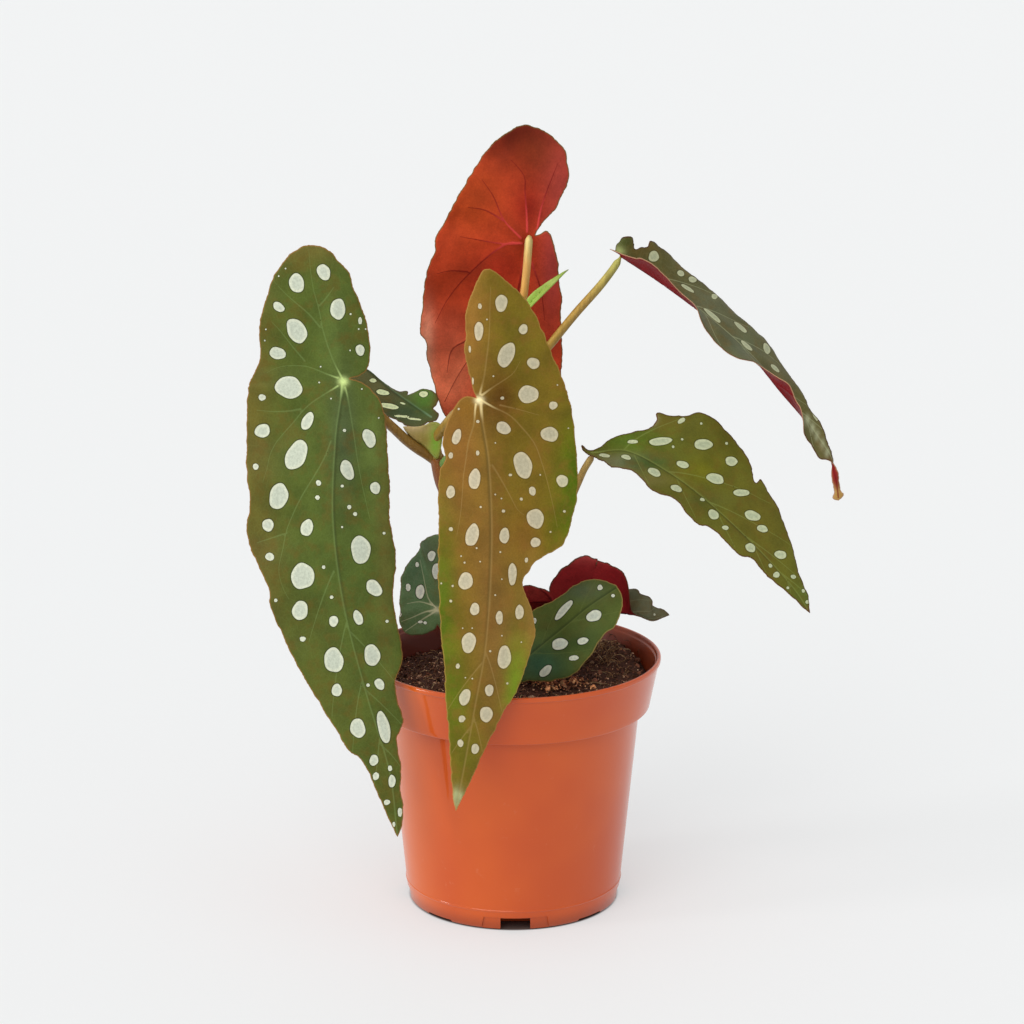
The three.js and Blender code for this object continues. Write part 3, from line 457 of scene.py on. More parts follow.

# What the photo shows on each leaf, placed in its pixels: the dots as (across, down, half
# width, half height, lean to the right in degrees), the veins as lines, and soft patches of
# colour as (across, down, half width, half height, colour, strength), some of them painted light and painted
# shade, where marked.
# Where the photo doesn't show a blade's upper side, up to so many tries add dots outside the
# boxes (left, top, right, bottom) of seen_part.
PLAIN_LOOK = {
    "warm": "6a4f1c", "warm_part": 0.35, "vein_reach": 1.7, "dot_tint": 0.0,
    "first_side_vein": 6, "vein_step": 19, "tries": 0,
    "seen_part": [], "spots": [], "veins": [], "paint": [], "under_paint": [],
}
LOOKS = {
    "left": {
        "slot": "leaf_green",
        "top": "505d24", "under": "8e3a1e", "spot": "d2d6bf", "vein": "869f60", "vein_part": 0.22,
        "first_vein": "c8e08c",
        "rim_and_shade_colour": "2c3316", "rim": 0.75, "margin": "a0703c", "margin_part": 0.7,
        "under_vein": "6e1418", "under_margin": "6e5a2c",
        "spots": [
            (324, 272, 6.5, 8.5, -15), (297, 283, 8, 9.6, -10), (279, 307, 6.2, 4.5, 35),
            (338, 309, 7.4, 11, 8), (297, 330.5, 9.5, 14, -35), (360, 321, 2.2, 3.8), (360, 350, 4.6, 5.8),
            (278, 353, 8.2, 6.5, 20), (289, 387, 14, 10.5), (262.5, 397, 3.7), (308, 421, 5.5, 9.8, 30),
            (263, 431, 8, 7.5), (369, 438, 6.3, 9.2, -20), (297, 455, 10.5, 15.8, 30),
            (347, 470, 6.3, 10.8, -15), (256, 467, 3.3), (319, 483, 3), (375, 488, 5, 6.5),
            (318, 497.5, 2.6), (342, 486, 1.7), (279, 496, 9.5, 13.5, 20), (349, 507, 2.4), (355, 514, 2.3),
            (268.5, 525, 6.2), (307.5, 527.6, 6, 9.3, 15), (342, 527, 1.2), (384, 533, 1.6),
            (360.5, 549.5, 10.4, 14, -10), (270, 557, 4.5), (303, 576, 11.6, 13.9), (374, 588, 7, 9.5, -35),
            (324, 567, 2), (332, 597, 2), (300.5, 610, 8.2, 9.7), (334, 621, 4.8, 5.5),
            (358, 617.5, 4.5, 8, -25), (387, 621, 1.8), (276, 600, 2), (303, 639, 3),
            (334, 660, 10.1, 12.6), (372, 655, 8, 11.5, -15), (337, 690, 5.7, 6.2),
            (379.5, 684, 4.8, 6, -35), (368, 685, 2), (358, 728, 8, 9.8), (383.6, 727, 6, 17, -15),
            (374, 760, 4.5, 5.8), (376, 776, 3.5, 4.2), (390, 768, 2.4, 3.2), (392, 781, 3.8, 6.4),
            (387, 802, 3.5, 3), (400, 812, 2.5, 4.8), (394, 824, 1.5, 3), (321, 366.6, 0.9),
            (319.6, 382.5, 0.9), (331.4, 398.7, 0.9), (344.3, 430.4, 1.8), (361.7, 389, 0.9),
            (266, 329, 0.9), (265, 340, 0.9), (286, 268.4, 0.9), (279, 276, 0.9), (350.5, 314, 1.1),
            (350, 350.4, 0.9), (358.6, 329, 0.9), (365.6, 329, 0.9), (378.5, 418, 0.9),
        ],
        "veins": [
            [
                (343, 380), (334, 362), (327, 343), (322, 325), (319, 309), (314, 291), (311, 273),
                (309, 250),
            ],
            [(320, 327), (309, 314), (295, 302), (283, 291), (274, 281)],
            [(305, 361), (294, 348), (283, 334), (272, 322)], [(320, 305), (327, 297), (334, 287)],
            [(338, 378), (327, 374), (315, 369), (304, 366), (286, 366), (274, 369), (267, 373)],
            [
                (338, 386), (325, 394), (309, 405), (293, 423), (279, 439), (271, 453), (267, 469),
                (263, 482),
            ],
            [(301, 409), (289, 411), (274, 411.4), (257, 410)],
            [(345, 387), (349, 405), (353, 430), (357, 457), (361, 480), (365, 498), (370, 519)],
            [
                (331, 441), (325, 457), (315, 475), (305, 491), (295, 510), (287, 530), (283, 549),
                (279, 569), (282, 585), (289, 599),
            ],
            [(287, 533), (272, 538), (257, 543)], [(334, 571), (327, 587), (320, 606), (309, 642)],
        ],
        "first_side_vein": 94, "vein_step": 24,
        "paint": [
            (250, 400, 24, 190, "6e5c26", 0.65), (262, 600, 26, 90, "645626", 0.6),
            (300, 250, 60, 16, "6f5c2a", 0.6), (374, 440, 12, 60, "627438", 0.6),
            # (344, 440) is painted shade beside the midrib
            (385, 560, 10, 110, "6a5c2c", 0.5), (344, 440, 14, 70, "48553a", 0.7),
            (345, 620, 40, 120, "4c5e28", 0.5), (320, 700, 40, 60, "5c5a22", 0.5),
            (385, 790, 24, 60, "55561f", 0.6), (310, 622, 30, 26, "4a4c1c", 0.6),
            (343, 381.5, 4.5, 4, "d8ee98", 1.2), (332, 330, 16, 60, "5a6c34", 0.4),
        ],
    },
    "front": {
        "slot": "leaf_olive",
        "top": "74601a", "under": "94502a", "spot": "e0d6b8", "vein": "a88c54", "vein_part": 0.3,
        "first_vein": "ffe8a8", "vein_reach": 1.9, "dot_tint": 0.3,
        "rim_and_shade_colour": "4a3c14", "rim": 0.45, "margin": "b88a48", "margin_part": 0.5,
        "under_vein": "7a2a1a", "under_margin": "8a7a34",
        "spots": [
            (501, 303, 6.3, 8.6), (480, 306, 2, 3.2), (479, 331, 4.3, 10.3), (523, 329, 4.6, 5.2),
            (506, 355, 8.3, 12.8, 25), (533, 363, 6.4, 5.8), (470, 349, 1.3, 4), (473, 381, 1, 4),
            (528, 395, 11, 8.7), (502, 398, 2.2, 1.7), (553, 405, 4.2, 3.7), (503, 428, 8.2, 5.8, 35),
            (478, 421.5, 1.8), (457, 437, 4.4, 8, 15), (549, 434, 8.8, 8), (478, 453, 1.7, 3),
            (451, 455.5, 2.3, 3.6), (522.5, 465.6, 9.5, 13, -20), (510, 475, 2, 1.4),
            (475, 479, 5.7, 11.2, 8), (562, 481, 6), (451, 492, 4.4, 6.6), (532, 491, 3.6, 4.9),
            (521, 499, 1.7), (535, 518.5, 8.4, 10.6), (503, 511, 1.8), (481, 507, 1.2), (564, 511, 1.5),
            (451, 529, 2.2), (472.6, 535, 6.5, 12, 10), (504, 535.6, 5.1, 7.9), (535, 542.5, 5, 5.2),
            (466, 581, 7, 9.5, 15), (512, 574, 4.1, 12.2), (526, 560, 2, 2.8), (475, 609, 4.9, 6.3),
            (499, 617.5, 3.7, 6.8), (519, 612, 4.2, 7.9), (469, 642.5, 7.2, 10.6, 15),
            (504, 657, 6.7, 12.2), (458, 666, 2.4, 2.7), (465, 697, 5.6, 8.5, 15), (489, 690, 4.2, 6.3),
            (486, 714, 6.2, 8.5), (462, 718.5, 3.5, 3.8), (460.5, 743, 3, 4.4), (475, 748.6, 3.8, 5.5),
            (451, 601, 1.6), (453, 586, 1.3), (487, 319.4, 0.9), (493, 376, 0.9), (557, 385, 0.9),
            (495, 494.5, 0.9), (501, 498.5, 0.9), (540, 475, 0.9), (495, 443, 0.8), (568, 428, 0.8),
            (459, 409, 1.2), (550, 532, 1.1), (500, 552, 1), (477, 548, 1), (461.5, 556, 0.9),
            (480.5, 561.5, 0.9), (465, 562.5, 1.1), (441.5, 583.5, 1), (501.5, 579, 0.8), (495, 595, 1),
            (463, 628, 0.8), (472.5, 628, 0.8), (501.5, 635.5, 0.8), (490, 651, 1.2), (465.5, 677.5, 0.8),
            (472.5, 678.5, 0.9), (507, 683, 1.2), (521, 642, 0.8),
        ],
        "veins": [
            [(480, 394), (484, 377), (487, 355), (489, 336), (490, 301), (490.5, 287)],
            [(482, 395), (493, 387), (512, 374), (520, 361)],
            [
                (481, 400), (493, 407), (509, 415), (523, 429), (535, 445), (543, 467), (549, 489),
                (554, 511), (557, 527),
            ],
            [(500, 405), (517, 409), (539, 415)],
            [(492, 465), (500, 478), (509, 494), (517, 509), (524, 515)],
            [(476, 404), (474, 424), (468, 445), (464, 473), (463, 486), (461, 511), (457, 535)],
        ],
        "first_side_vein": 96, "vein_step": 26, "warm": "865a26",
        "paint": [
            (460, 450, 26, 80, "855a26", 0.9), (472, 320, 14, 60, "946a2c", 0.9),
            (478, 560, 34, 60, "7c5622", 0.6), (572, 480, 16, 60, "466604", 0.85),
            (560, 530, 26, 26, "566c08", 0.5), (527, 535, 20, 28, "8c5a20", 0.5),
            (443, 610, 13, 90, "4c660c", 0.85), (454, 700, 13, 60, "50680e", 0.7),
            (500, 640, 24, 80, "7e5c2c", 0.8), (532, 610, 10, 50, "9c783c", 0.6),
            (517, 690, 13, 50, "6c861c", 0.9), (470, 760, 16, 26, "646218", 0.7),
            (457.5, 799, 6, 10, "a6aa78", 1.5), (520, 340, 20, 40, "666016", 0.5),
            (500, 398, 18, 30, "5a3a0c", 0.95), (466, 410, 10, 14, "7a5418", 0.6),
            (479.5, 400, 4, 3.6, "fff0bc", 1.2), (490, 560, 10, 160, "7a5828", 0.5),
        ],
    },
    "back": {
        "slot": "leaf_red",
        "top": "4c5c28", "under": "b84022", "spot": "c8cfbe", "vein": "8aa060", "vein_part": 0.4,
        "rim_and_shade_colour": "2c3316", "rim": 0.7, "margin": "5c4a26", "margin_part": 0.8,
        "under_vein": "6c0e10", "first_under_vein": "e04a48", "under_margin": "6e5a2c",
        "tries": 900,
        "veins": [
            [(527, 232), (525, 194), (524, 176), (511, 160)],
            [(521, 238), (504, 220), (493, 196), (482, 180)], [(520, 243), (500, 243), (460, 236.5)],
            [(522, 243), (508, 243), (489, 255), (467, 275), (449, 297), (435, 323)],
            [(536, 236), (541, 209), (550, 183), (558, 163)], [(532, 262), (541, 290), (545, 320)],
            [(503, 220), (485, 210), (468, 207)], [(467, 271), (450, 270), (437, 273)],
            [(466, 340), (452, 349), (447, 372)],
        ],
        "first_side_vein": 30, "vein_step": 26,
        "under_paint": [
            (520, 130, 66, 44, "5e180a", 1.0), (470, 200, 34, 46, "ac4416", 0.6),
            (562, 180, 20, 50, "9c3c34", 0.8), (552, 270, 14, 60, "9a3a34", 0.95),
            # the lower left, (446, 372) to (444, 345), is partly the leaf's pinker colour and partly painted
            # light through the leaf, with a painted sheen at (428, 345) on its left edge
            (536, 152, 24, 24, "6a2a10", 0.6), (446, 372, 26, 36, "ff8c62", 1.3),
            (428, 345, 7, 34, "ffc09c", 0.9), (444, 345, 24, 44, "c4543a", 0.75),
            (446, 296, 24, 22, "98300f", 0.45), (500, 270, 30, 26, "a82a1c", 0.6),
            (528, 208, 16, 24, "841c10", 0.85),
        ],
    },
    "upper_right": {
        "slot": "leaf_dark_green",
        "top": "57522a", "under": "761418", "spot": "b0b28e", "vein": "a8ac82", "vein_part": 0.4,
        "rim_and_shade_colour": "33341a", "rim": 0.5, "margin": "4a2a22", "margin_part": 0.8,
        "under_vein": "7a1018", "under_margin": "b89070",
        "spots": [
            (653, 257, 5.5), (680, 274, 4, 2.8, 20), (692, 280, 4.4, 3, 20), (714, 297, 3.5, 3, 20),
            (687, 289, 8, 2, 32), (712, 316, 12, 2, 42), (740, 328, 8, 2.6, 42), (766, 349, 3, 6, -20),
            (746, 346, 8, 2, 42), (774, 369, 6, 2, 45), (815, 416, 6, 2, 60),
        ],
        "tries": 300, "seen_part": [(612, 235, 845, 505)],
        "first_side_vein": 16,
        "paint": [
            # the grey-green patches at (700, 310) and (740, 345) are painted sheen
            (700, 310, 40, 26, "5c6450", 0.5), (740, 345, 30, 20, "566048", 0.6),
            (624, 244, 12, 9, "4c5424", 0.9), (640, 250, 14, 8, "554520", 0.6),
            (820, 430, 14, 30, "66603a", 0.7),
            *[(807 + 5 * i, 420 + 8 * i, 2.5, 5, "b8bc98", 0.7) for i in range(5)],
            (834, 472, 12, 10, "8c2a22", 1.0), (837, 496, 12, 9, "b08a4c", 1.5),
            (620, 252, 5, 5, "a8b070", 0.9),
        ],
        "under_paint": [(834, 472, 12, 12, "8c2a22", 1.0), (837, 496, 12, 9, "b08a4c", 1.5)],
    },
    "lower_right": {
        "slot": "leaf_green",
        "top": "5f5e1e", "under": "8c2e1e", "spot": "bdc49e", "vein": "84904a", "vein_part": 0.35,
        "rim_and_shade_colour": "33340f", "rim": 0.65, "margin": "5a3220", "margin_part": 0.8,
        "under_vein": "6e1418", "under_margin": "6e5a2c",
        "spots": [
            (633, 442, 6, 2), (660.5, 442, 11.5, 4.3, -5), (703, 445, 9.3, 5.6, -5),
            (681.5, 421, 4.8, 2.5, -30), (701, 424, 1.3), (726, 444, 1.6), (731, 462, 6.6, 4.6, 5),
            (682.5, 465, 6.7, 3.3, 12), (715, 479, 9.7, 4.8, 15), (654, 473, 7.3, 3.7, 25),
            (626, 458, 5.2, 2.4, 12), (676, 489, 6, 3.5, 15), (741, 493, 8.2, 3.8),
            (702, 500, 2.7, 1.9, 10), (713, 515, 6.2, 4.7, 25), (752, 516, 8.4, 4.7, 15),
            (762, 529, 5.9, 3.6, 10), (725, 528, 3.7, 2.4, 20), (750, 548, 5.8, 4.3, 30),
            (780, 555, 6, 4.2, 20), (770, 566, 2.2), (776, 575, 3.6, 3.2), (793, 577, 3, 2.2, 15),
            (787.5, 588, 1.6), (803, 591, 2), (807, 602, 2.2), (682, 440, 1.3), (673, 447.5, 1.5),
            (605, 456, 6, 2, 10),
        ],
        "first_side_vein": 14, "vein_step": 20,
        "paint": [
            (651, 420, 5, 5, "c8c4a4", 1.2), (630, 440, 36, 16, "4f6a18", 0.8),
            # (622, 463) and (650, 480) on the lower half are painted sheen; (645, 463) below the midrib is
            # painted shade
            (622, 463, 30, 8, "77705a", 0.85), (650, 480, 26, 9, "6a6238", 0.6),
            (645, 463, 34, 8, "3f5a22", 0.8), (700, 470, 22, 12, "6e6c14", 0.7),
            (690, 425, 50, 12, "5c5a1e", 0.5), (700, 500, 40, 8, "4f5526", 0.5),
            (760, 520, 30, 40, "665a1c", 0.5), (806, 600, 12, 20, "55682a", 0.7),
            (810, 612, 6, 6, "6a3020", 0.8),
        ],
    },
    "behind_left": {
        "slot": "leaf_dark_green",
        "top": "4e5230", "under": "54141a", "spot": "d8e4b0", "vein": "7aa078", "vein_part": 0.25,
        "rim_and_shade_colour": "1c2814", "rim": 0.7, "margin": "6a4a30", "margin_part": 0.7,
        "under_vein": "3a0c10", "under_margin": "8a6a40",
        "spots": [
            (373, 381, 4, 2.3, 8), (383, 393, 7, 2.7, 12), (390, 407, 9.5, 2.8, 10), (403, 404, 3, 1, 15),
            (424, 395, 4.6, 3.2, -8), (402, 417, 8, 1.2, 6), (415, 420, 7, 1.1, 6),
        ],
        "tries": 200, "seen_part": [(364, 368, 442, 428)],
        "first_side_vein": 60,
        "paint": [
            (425, 400, 14, 14, "567e2a", 0.95), (376, 386, 24, 14, "66623a", 0.5),
            (405, 412, 20, 8, "33482e", 0.7), (437, 404, 4, 10, "6a4a24", 0.6),
        ],
    },
    "low_left": {
        "slot": "leaf_dark_green",
        # the upper side and its dots are painted paler than the leaf's own colour, as painted light
        "top": "648254", "under": "641a1e", "spot": "eef8e4", "vein": "d8dcb0", "vein_part": 0.5,
        "rim_and_shade_colour": "16241a", "rim": 0.75, "margin": "6c5a38", "margin_part": 0.7,
        "under_vein": "4a0e14", "under_margin": "8a6a40",
        "spots": [
            (430, 557, 4, 5.4), (417, 565, 2, 2.8), (435, 572, 4.5, 8), (408, 588, 2.5, 4.3),
            (420, 592, 4.6, 7.2), (399, 614, 2.7, 4), (420, 622, 2.6, 1.6), (425, 623, 1.8),
        ],
        "tries": 220, "seen_part": [(395, 528, 442, 640)],
        "veins": [
            [(436, 610), (425, 612), (411, 618), (400, 622)],
            [(436, 611), (423, 619), (410, 628), (402, 633)],
            [(436, 608), (428, 598), (424, 580), (420, 560)], [(434, 606), (420, 602), (407, 604)],
        ],
        "first_side_vein": 8, "vein_step": 14,
        "paint": [
            (432, 548, 16, 14, "5c6444", 0.6), (437, 610, 4, 3, "e0e8c0", 0.9),
            (415, 570, 14, 40, "50765c", 0.5),
        ],
    },
    "low_front": {
        "slot": "leaf_dark_green",
        "top": "52602a", "under": "6a1a1e", "spot": "dce2cc", "vein": "6c7a40", "vein_part": 0.3,
        "rim_and_shade_colour": "182412", "rim": 0.85, "margin": "a89050", "margin_part": 0.75,
        "under_vein": "4a0e14", "under_margin": "8a6a40",
        "spots": [
            (564, 610.5, 13, 3.8, -47), (594, 616, 7.7, 5.8, -20), (600, 588, 3), (613, 596, 2),
            (560, 644, 8.7, 5.6, -10), (583, 641, 5.6, 3.6, -10), (574, 658, 5.5, 2.7, -10),
            (546, 671, 7.5, 4.3, -40), (535, 621, 2.5, 3.3),
        ],
        "tries": 160, "seen_part": [(522, 575, 626, 684)],
        "first_side_vein": 10, "vein_step": 20, "warm_part": 0.15,
        "paint": [
            (540, 665, 26, 18, "366048", 0.85), (614, 605, 13, 24, "56622a", 0.7),
            (582, 591, 22, 10, "5c6c54", 0.6), (575, 640, 30, 12, "385028", 0.5),
        ],
    },
    "low_right": {
        "slot": "leaf_red",
        "top": "5a5c44", "under": "9a2a2c", "spot": "b9bba2", "vein": "8a8a6a", "vein_part": 0.4,
        "rim_and_shade_colour": "33341a", "rim": 0.5, "margin": "5a4a34", "margin_part": 0.8,
        "under_vein": "5a0c14", "under_margin": "5c4630",
        "tries": 260,
        "first_side_vein": 8, "vein_step": 12,
        "paint": [(650, 612, 14, 16, "66674e", 0.8)],
        "under_paint": [
            # (592, 558) is a painted highlight along the top edge
            (592, 558, 34, 6, "c8504c", 0.6), (535, 592, 20, 10, "a03c34", 0.7),
            (610, 590, 14, 26, "982226", 0.6),
        ],
    },
}

SHEATH_LOOK = {
    "top": "a8a050", "under": "a8a058",
    "paint": [
        (435, 441, 6, 16, "78b42c", 0.95), (412, 428, 16, 5, "d2bc86", 0.95),
        (422, 440, 10, 6, "96863a", 0.8), (412, 437, 8, 4, "c0a66c", 0.6),
    ],
}
BRACT_LOOK = {
    "top": "92ac48", "under": "86a044",
    "paint": [
        (530, 300, 12, 10, "a4c858", 0.9), (552, 282, 12, 3, "b4c470", 0.5),
        (571, 267, 8, 5, "76704a", 1.0),
    ],
}

# Colours along the stems, from their roots to their ends
STEM_COLOURS = {
    "cane_left": ["6a4a2a", "7a5230", "8c5230", "8a4628", "884428", "96602e"],
    "cane_right": ["6a4a2a", "7a5230", "8a6a38", "8a6a38", "94743c", "8c8a44"],
    "stalk_left": ["9c7432", "9c7a36", "a4823c", "a88a40"],
    "stalk_front": ["a89040", "a88838", "b08a40", "c09a58"],
    "stalk_back": ["b8a050", "c89448", "cc9c54", "ccc07c"],
    "stalk_upper_right": ["9a7a38", "a8883c", "a8863e", "a0a050"],
    "stalk_lower_right": ["9a6c30", "a8803c", "b08a44", "b09a58"],
    "stalk_behind_left": ["7a4a2a", "6a2a1c", "5a1a14", "6a3a24"],
    "stalk_low_left": ["7a5a3a", "7a4a32", "7a4a32", "9aa070"],
    "stalk_low_front": ["7a5a3a", "7a4a32", "7a4a32", "8a8a4a"],
    "stalk_low_right": ["7a5a3a", "7a3a2a", "7a2a26", "7a2226"],
    "bud": ["64803a", "6c9448", "86a860"],
}


def seen(points):
    """Where points in the frame lie in the photo, in pixels."""
    out = np.asarray(points, float) - VIEW_FROM
    depth = out @ VIEW_AHEAD
    across = PHOTO_PX / 2 + VIEW_FOCAL_PX * out[..., 0] / depth
    down = PHOTO_PX / 2 - VIEW_FOCAL_PX * (out @ VIEW_UP) / depth
    return np.stack([across, down], -1)


def colour(text):
    """A colour written as six hexadecimal digits, as linear red, green and blue."""
    parts = [int(text[i : i + 2], 16) / 255 for i in (0, 2, 4)]
    return np.array([p / 12.92 if p <= 0.04045 else ((p + 0.055) / 1.055) ** 2.4 for p in parts])


def rgba(text):
    return (*colour(text), 1)


def painted(pixels, base, blobs):
    """A base colour with soft blobs of others over it, at these pixels of the photo."""
    tone = np.tile(colour(base), (len(pixels), 1))
    for u, v, wide, tall, text, strength in blobs:
        part = strength * np.exp(-((pixels[:, 0] - u) / wide) ** 2 - ((pixels[:, 1] - v) / tall) ** 2)
        tone += np.minimum(part, 1)[:, None] * (colour(text) - tone)
    return tone


# Lines and places


def smooth(points, u):
    """Uniform Catmull-Rom through the points at u = 0 .. len - 1."""
    p = np.asarray(points, float)
    flat = p.ndim == 1
    p = p[:, None] if flat else p
    last = len(p) - 1
    u = np.clip(np.atleast_1d(u), 0, last)
    i = np.minimum(u.astype(int), last - 1)
    t = (u - i)[:, None]
    p = np.vstack([2 * p[0] - p[1], p, 2 * p[-1] - p[-2]])
    a, b, c, d = p[i], p[i + 1], p[i + 2], p[i + 3]
    cubic = (-a + 3 * b - 3 * c + d) * t**3
    out = 0.5 * (2 * b + (c - a) * t + (2 * a - 5 * b + 4 * c - d) * t**2 + cubic)
    return out[:, 0] if flat else out


def spaced(points, step):
    """Points about one step apart along the smooth line through the given ones."""
    fine = smooth(points, np.linspace(0, len(points) - 1, 40 * len(points)))
    run = np.r_[0, np.cumsum(np.linalg.norm(np.diff(fine, axis=0), axis=1))]
    at = np.linspace(0, run[-1], max(2, round(run[-1] / step)) + 1)
    return np.stack([np.interp(at, run, fine[:, k]) for k in range(fine.shape[1])], -1)


def unit(v):
    return v / np.linalg.norm(v, axis=-1, keepdims=True)


def turned(x, y, turn):
    """A place in the plan, turned round the pot's axis."""
    return x * math.cos(turn) - y * math.sin(turn), x * math.sin(turn) + y * math.cos(turn)


def inside(points, loop):
    """Which points lie within the closed loop."""
    x, y = points[:, 0][:, None], points[:, 1][:, None]
    p, q = loop, np.roll(loop, -1, axis=0)
    rises = (p[:, 1] > y) != (q[:, 1] > y)
    with np.errstate(divide="ignore", invalid="ignore"):
        cross = p[:, 0] + (y - p[:, 1]) * (q[:, 0] - p[:, 0]) / (q[:, 1] - p[:, 1])
    return (np.where(rises & (x < cross), 1, 0).sum(1) % 2) == 1


def from_lines(points, starts, ends):
    """Each point's distance to the nearest of these straight lines, and that line's number."""
    best = np.full(len(points), 1e9)
    which = np.zeros(len(points), int)
    run = ends - starts
    length = np.maximum((run**2).sum(1), 1e-12)
    for i in range(0, len(points), 2000):
        p = points[i : i + 2000, None, :]
        t = np.clip(((p - starts) * run).sum(2) / length, 0, 1)
        gap = np.linalg.norm(p - starts - t[..., None] * run, axis=2)
        nearest = gap.argmin(1)
        best[i : i + 2000] = gap[np.arange(len(nearest)), nearest]
        which[i : i + 2000] = nearest
    return best, which


def from_points(points, others):
    """Each point's distance to the nearest of the others."""
    return from_lines(points, others, others + 1e-6)[0]


def from_edge(points, outline):
    """Each point's distance to the outline."""
    return from_lines(points, outline, np.roll(outline, -1, axis=0))[0]


# Meshes


def make_object(name, points, faces, node, materials, tones=None, flat=None, values=None):
    """A mesh in metres that stands for a CAD node: tones are its points' colours, flat their
    places on the unrolled surface and values their other named numbers."""
    mesh = bpy.data.meshes.new(name)
    mesh.from_pydata((np.asarray(points) * MM).tolist(), [], [tuple(map(int, f)) for f in faces])
    if tones is not None:
        layer = mesh.attributes.new("tone", "FLOAT_COLOR", "POINT")
        layer.data.foreach_set("color", np.c_[tones, np.ones(len(points))].ravel())
    for key, numbers in (values or {}).items():
        layer = mesh.attributes.new(key, "FLOAT", "POINT")
        layer.data.foreach_set("value", np.asarray(numbers, float))
    if flat is not None:
        corners = np.empty(len(mesh.loops), int)
        mesh.loops.foreach_get("vertex_index", corners)
        layer = mesh.uv_layers.new(name="flat")
        layer.data.foreach_set("uv", np.asarray(flat, float)[corners].ravel())
    mesh.shade_smooth()
    piece = bpy.data.objects.new(name, mesh)
    bpy.context.scene.collection.objects.link(piece)
    for material in materials:
        mesh.materials.append(material)
    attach(piece, "root")
    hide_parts(node)
    return piece


def normals_of(points, faces):
    """Smooth normals at the points of a triangle mesh."""
    a, b, c = (points[faces[:, k]] for k in range(3))
    across = np.cross(b - a, c - a)
    total = np.zeros_like(points)
    for k in range(3):
        np.add.at(total, faces[:, k], across)
    return total / np.maximum(np.linalg.norm(total, axis=1, keepdims=True), 1e-9)


def two_sided(over, under, triangles):
    """Points and faces of the thin solid between two sheets that share their triangles."""
    count = len(over)
    faces = [tuple(t) for t in triangles] + [tuple(t[::-1] + count) for t in triangles]
    pairs = {(t[i], t[(i + 1) % 3]) for t in triangles.tolist() for i in range(3)}
    faces += [(q, p, p + count, q + count) for p, q in pairs if (q, p) not in pairs]
    return np.vstack([over, under]), faces


def ring_faces(count, around, closed=False):
    """Faces that join each ring of points to the next one."""
    faces = []
    for i in range(count if closed else count - 1):
        low, high = i * around, (i + 1) % count * around
        for k in range(around):
            j = (k + 1) % around
            faces.append((low + k, low + j, high + j, high + k))
    return faces


def end_faces(count, around):
    """The faces that close the first and the last ring."""
    return [tuple(range(around))[::-1], tuple((count - 1) * around + k for k in range(around))]


# Materials


class Nodes:
    """A material's node tree, written as nested calls."""

    def __init__(self, name):
        self.material = bpy.data.materials.new(name)
        self.material.use_nodes = True
        self.tree = self.material.node_tree
        self.tree.nodes.clear()

    def add(self, kind, out=0, settings=None, **inputs):
        """One node's output; an input is named, or numbered after an underscore."""
        node = self.tree.nodes.new("ShaderNode" + kind)
        for key, value in (settings or {}).items():
            setattr(node, key, value)
        for key, value in inputs.items():
            socket = node.inputs[int(key[1:])] if key[0] == "_" else node.inputs[key.replace("_", " ")]
            if isinstance(value, bpy.types.NodeSocket):
                self.tree.links.new(value, socket)
            else:
                socket.default_value = value
        return node.outputs[out]

    def value(self, name):
        return self.add("Attribute", 2, {"attribute_name": name})

    def tone(self):
        return self.add("Attribute", 0, {"attribute_name": "tone"})

    def flat(self):
        return self.add("UVMap", 0, {"uv_map": "flat"})

    def place(self):
        return self.add("TexCoord", 3)

    def mapped(self, where, **change):
        return self.add("Mapping", 0, _0=where, **change)

    def axis(self, where, number):
        return self.add("SeparateXYZ", number, Vector=where)

    def length(self, where):
        return self.add("VectorMath", 1, {"operation": "LENGTH"}, _0=where)

    def minus(self, a, b):
        return self.add("Math", 0, {"operation": "SUBTRACT"}, _0=a, _1=b)

    def times(self, a, b):
        return self.add("Math", 0, {"operation": "MULTIPLY"}, _0=a, _1=b)

    def ramp(self, value, low, high, at_low=0.0, at_high=1.0):
        return self.add(
            "MapRange", 0, {"interpolation_type": "SMOOTHSTEP"},
            _0=value, _1=low, _2=high, _3=at_low, _4=at_high,
        )

    def mix(self, part, a, b, how="MIX"):
        return self.add("Mix", 2, {"data_type": "RGBA", "blend_type": how}, _0=part, _6=a, _7=b)

    def shaded(self, base, value, dark, pale, low=0.3, high=0.7):
        """The colour times dark where the value is low, and times pale where it is high."""
        part = self.ramp(value, low, high, dark, pale)
        grey = self.add("CombineColor", 0, Red=part, Green=part, Blue=part)
        return self.mix(1.0, base, grey, "MULTIPLY")

    def cloud(self, where, scale, detail=3.0, rough=0.55):
        return self.add("TexNoise", 0, Vector=where, Scale=scale, Detail=detail, Roughness=rough)

    def net(self, where, scale):
        return self.add("TexVoronoi", 0, {"feature": "DISTANCE_TO_EDGE"}, Vector=where, Scale=scale)

    def bump(self, height, distance, strength=1.0):
        return self.add("Bump", 0, Height=height, Distance=distance, Strength=strength)

    def finish(self, base, **surface):
        shader = self.add("BsdfPrincipled", 0, _0=base, **surface)
        end = self.tree.nodes.new("ShaderNodeOutputMaterial")
        self.tree.links.new(shader, end.inputs["Surface"])
        return self.material


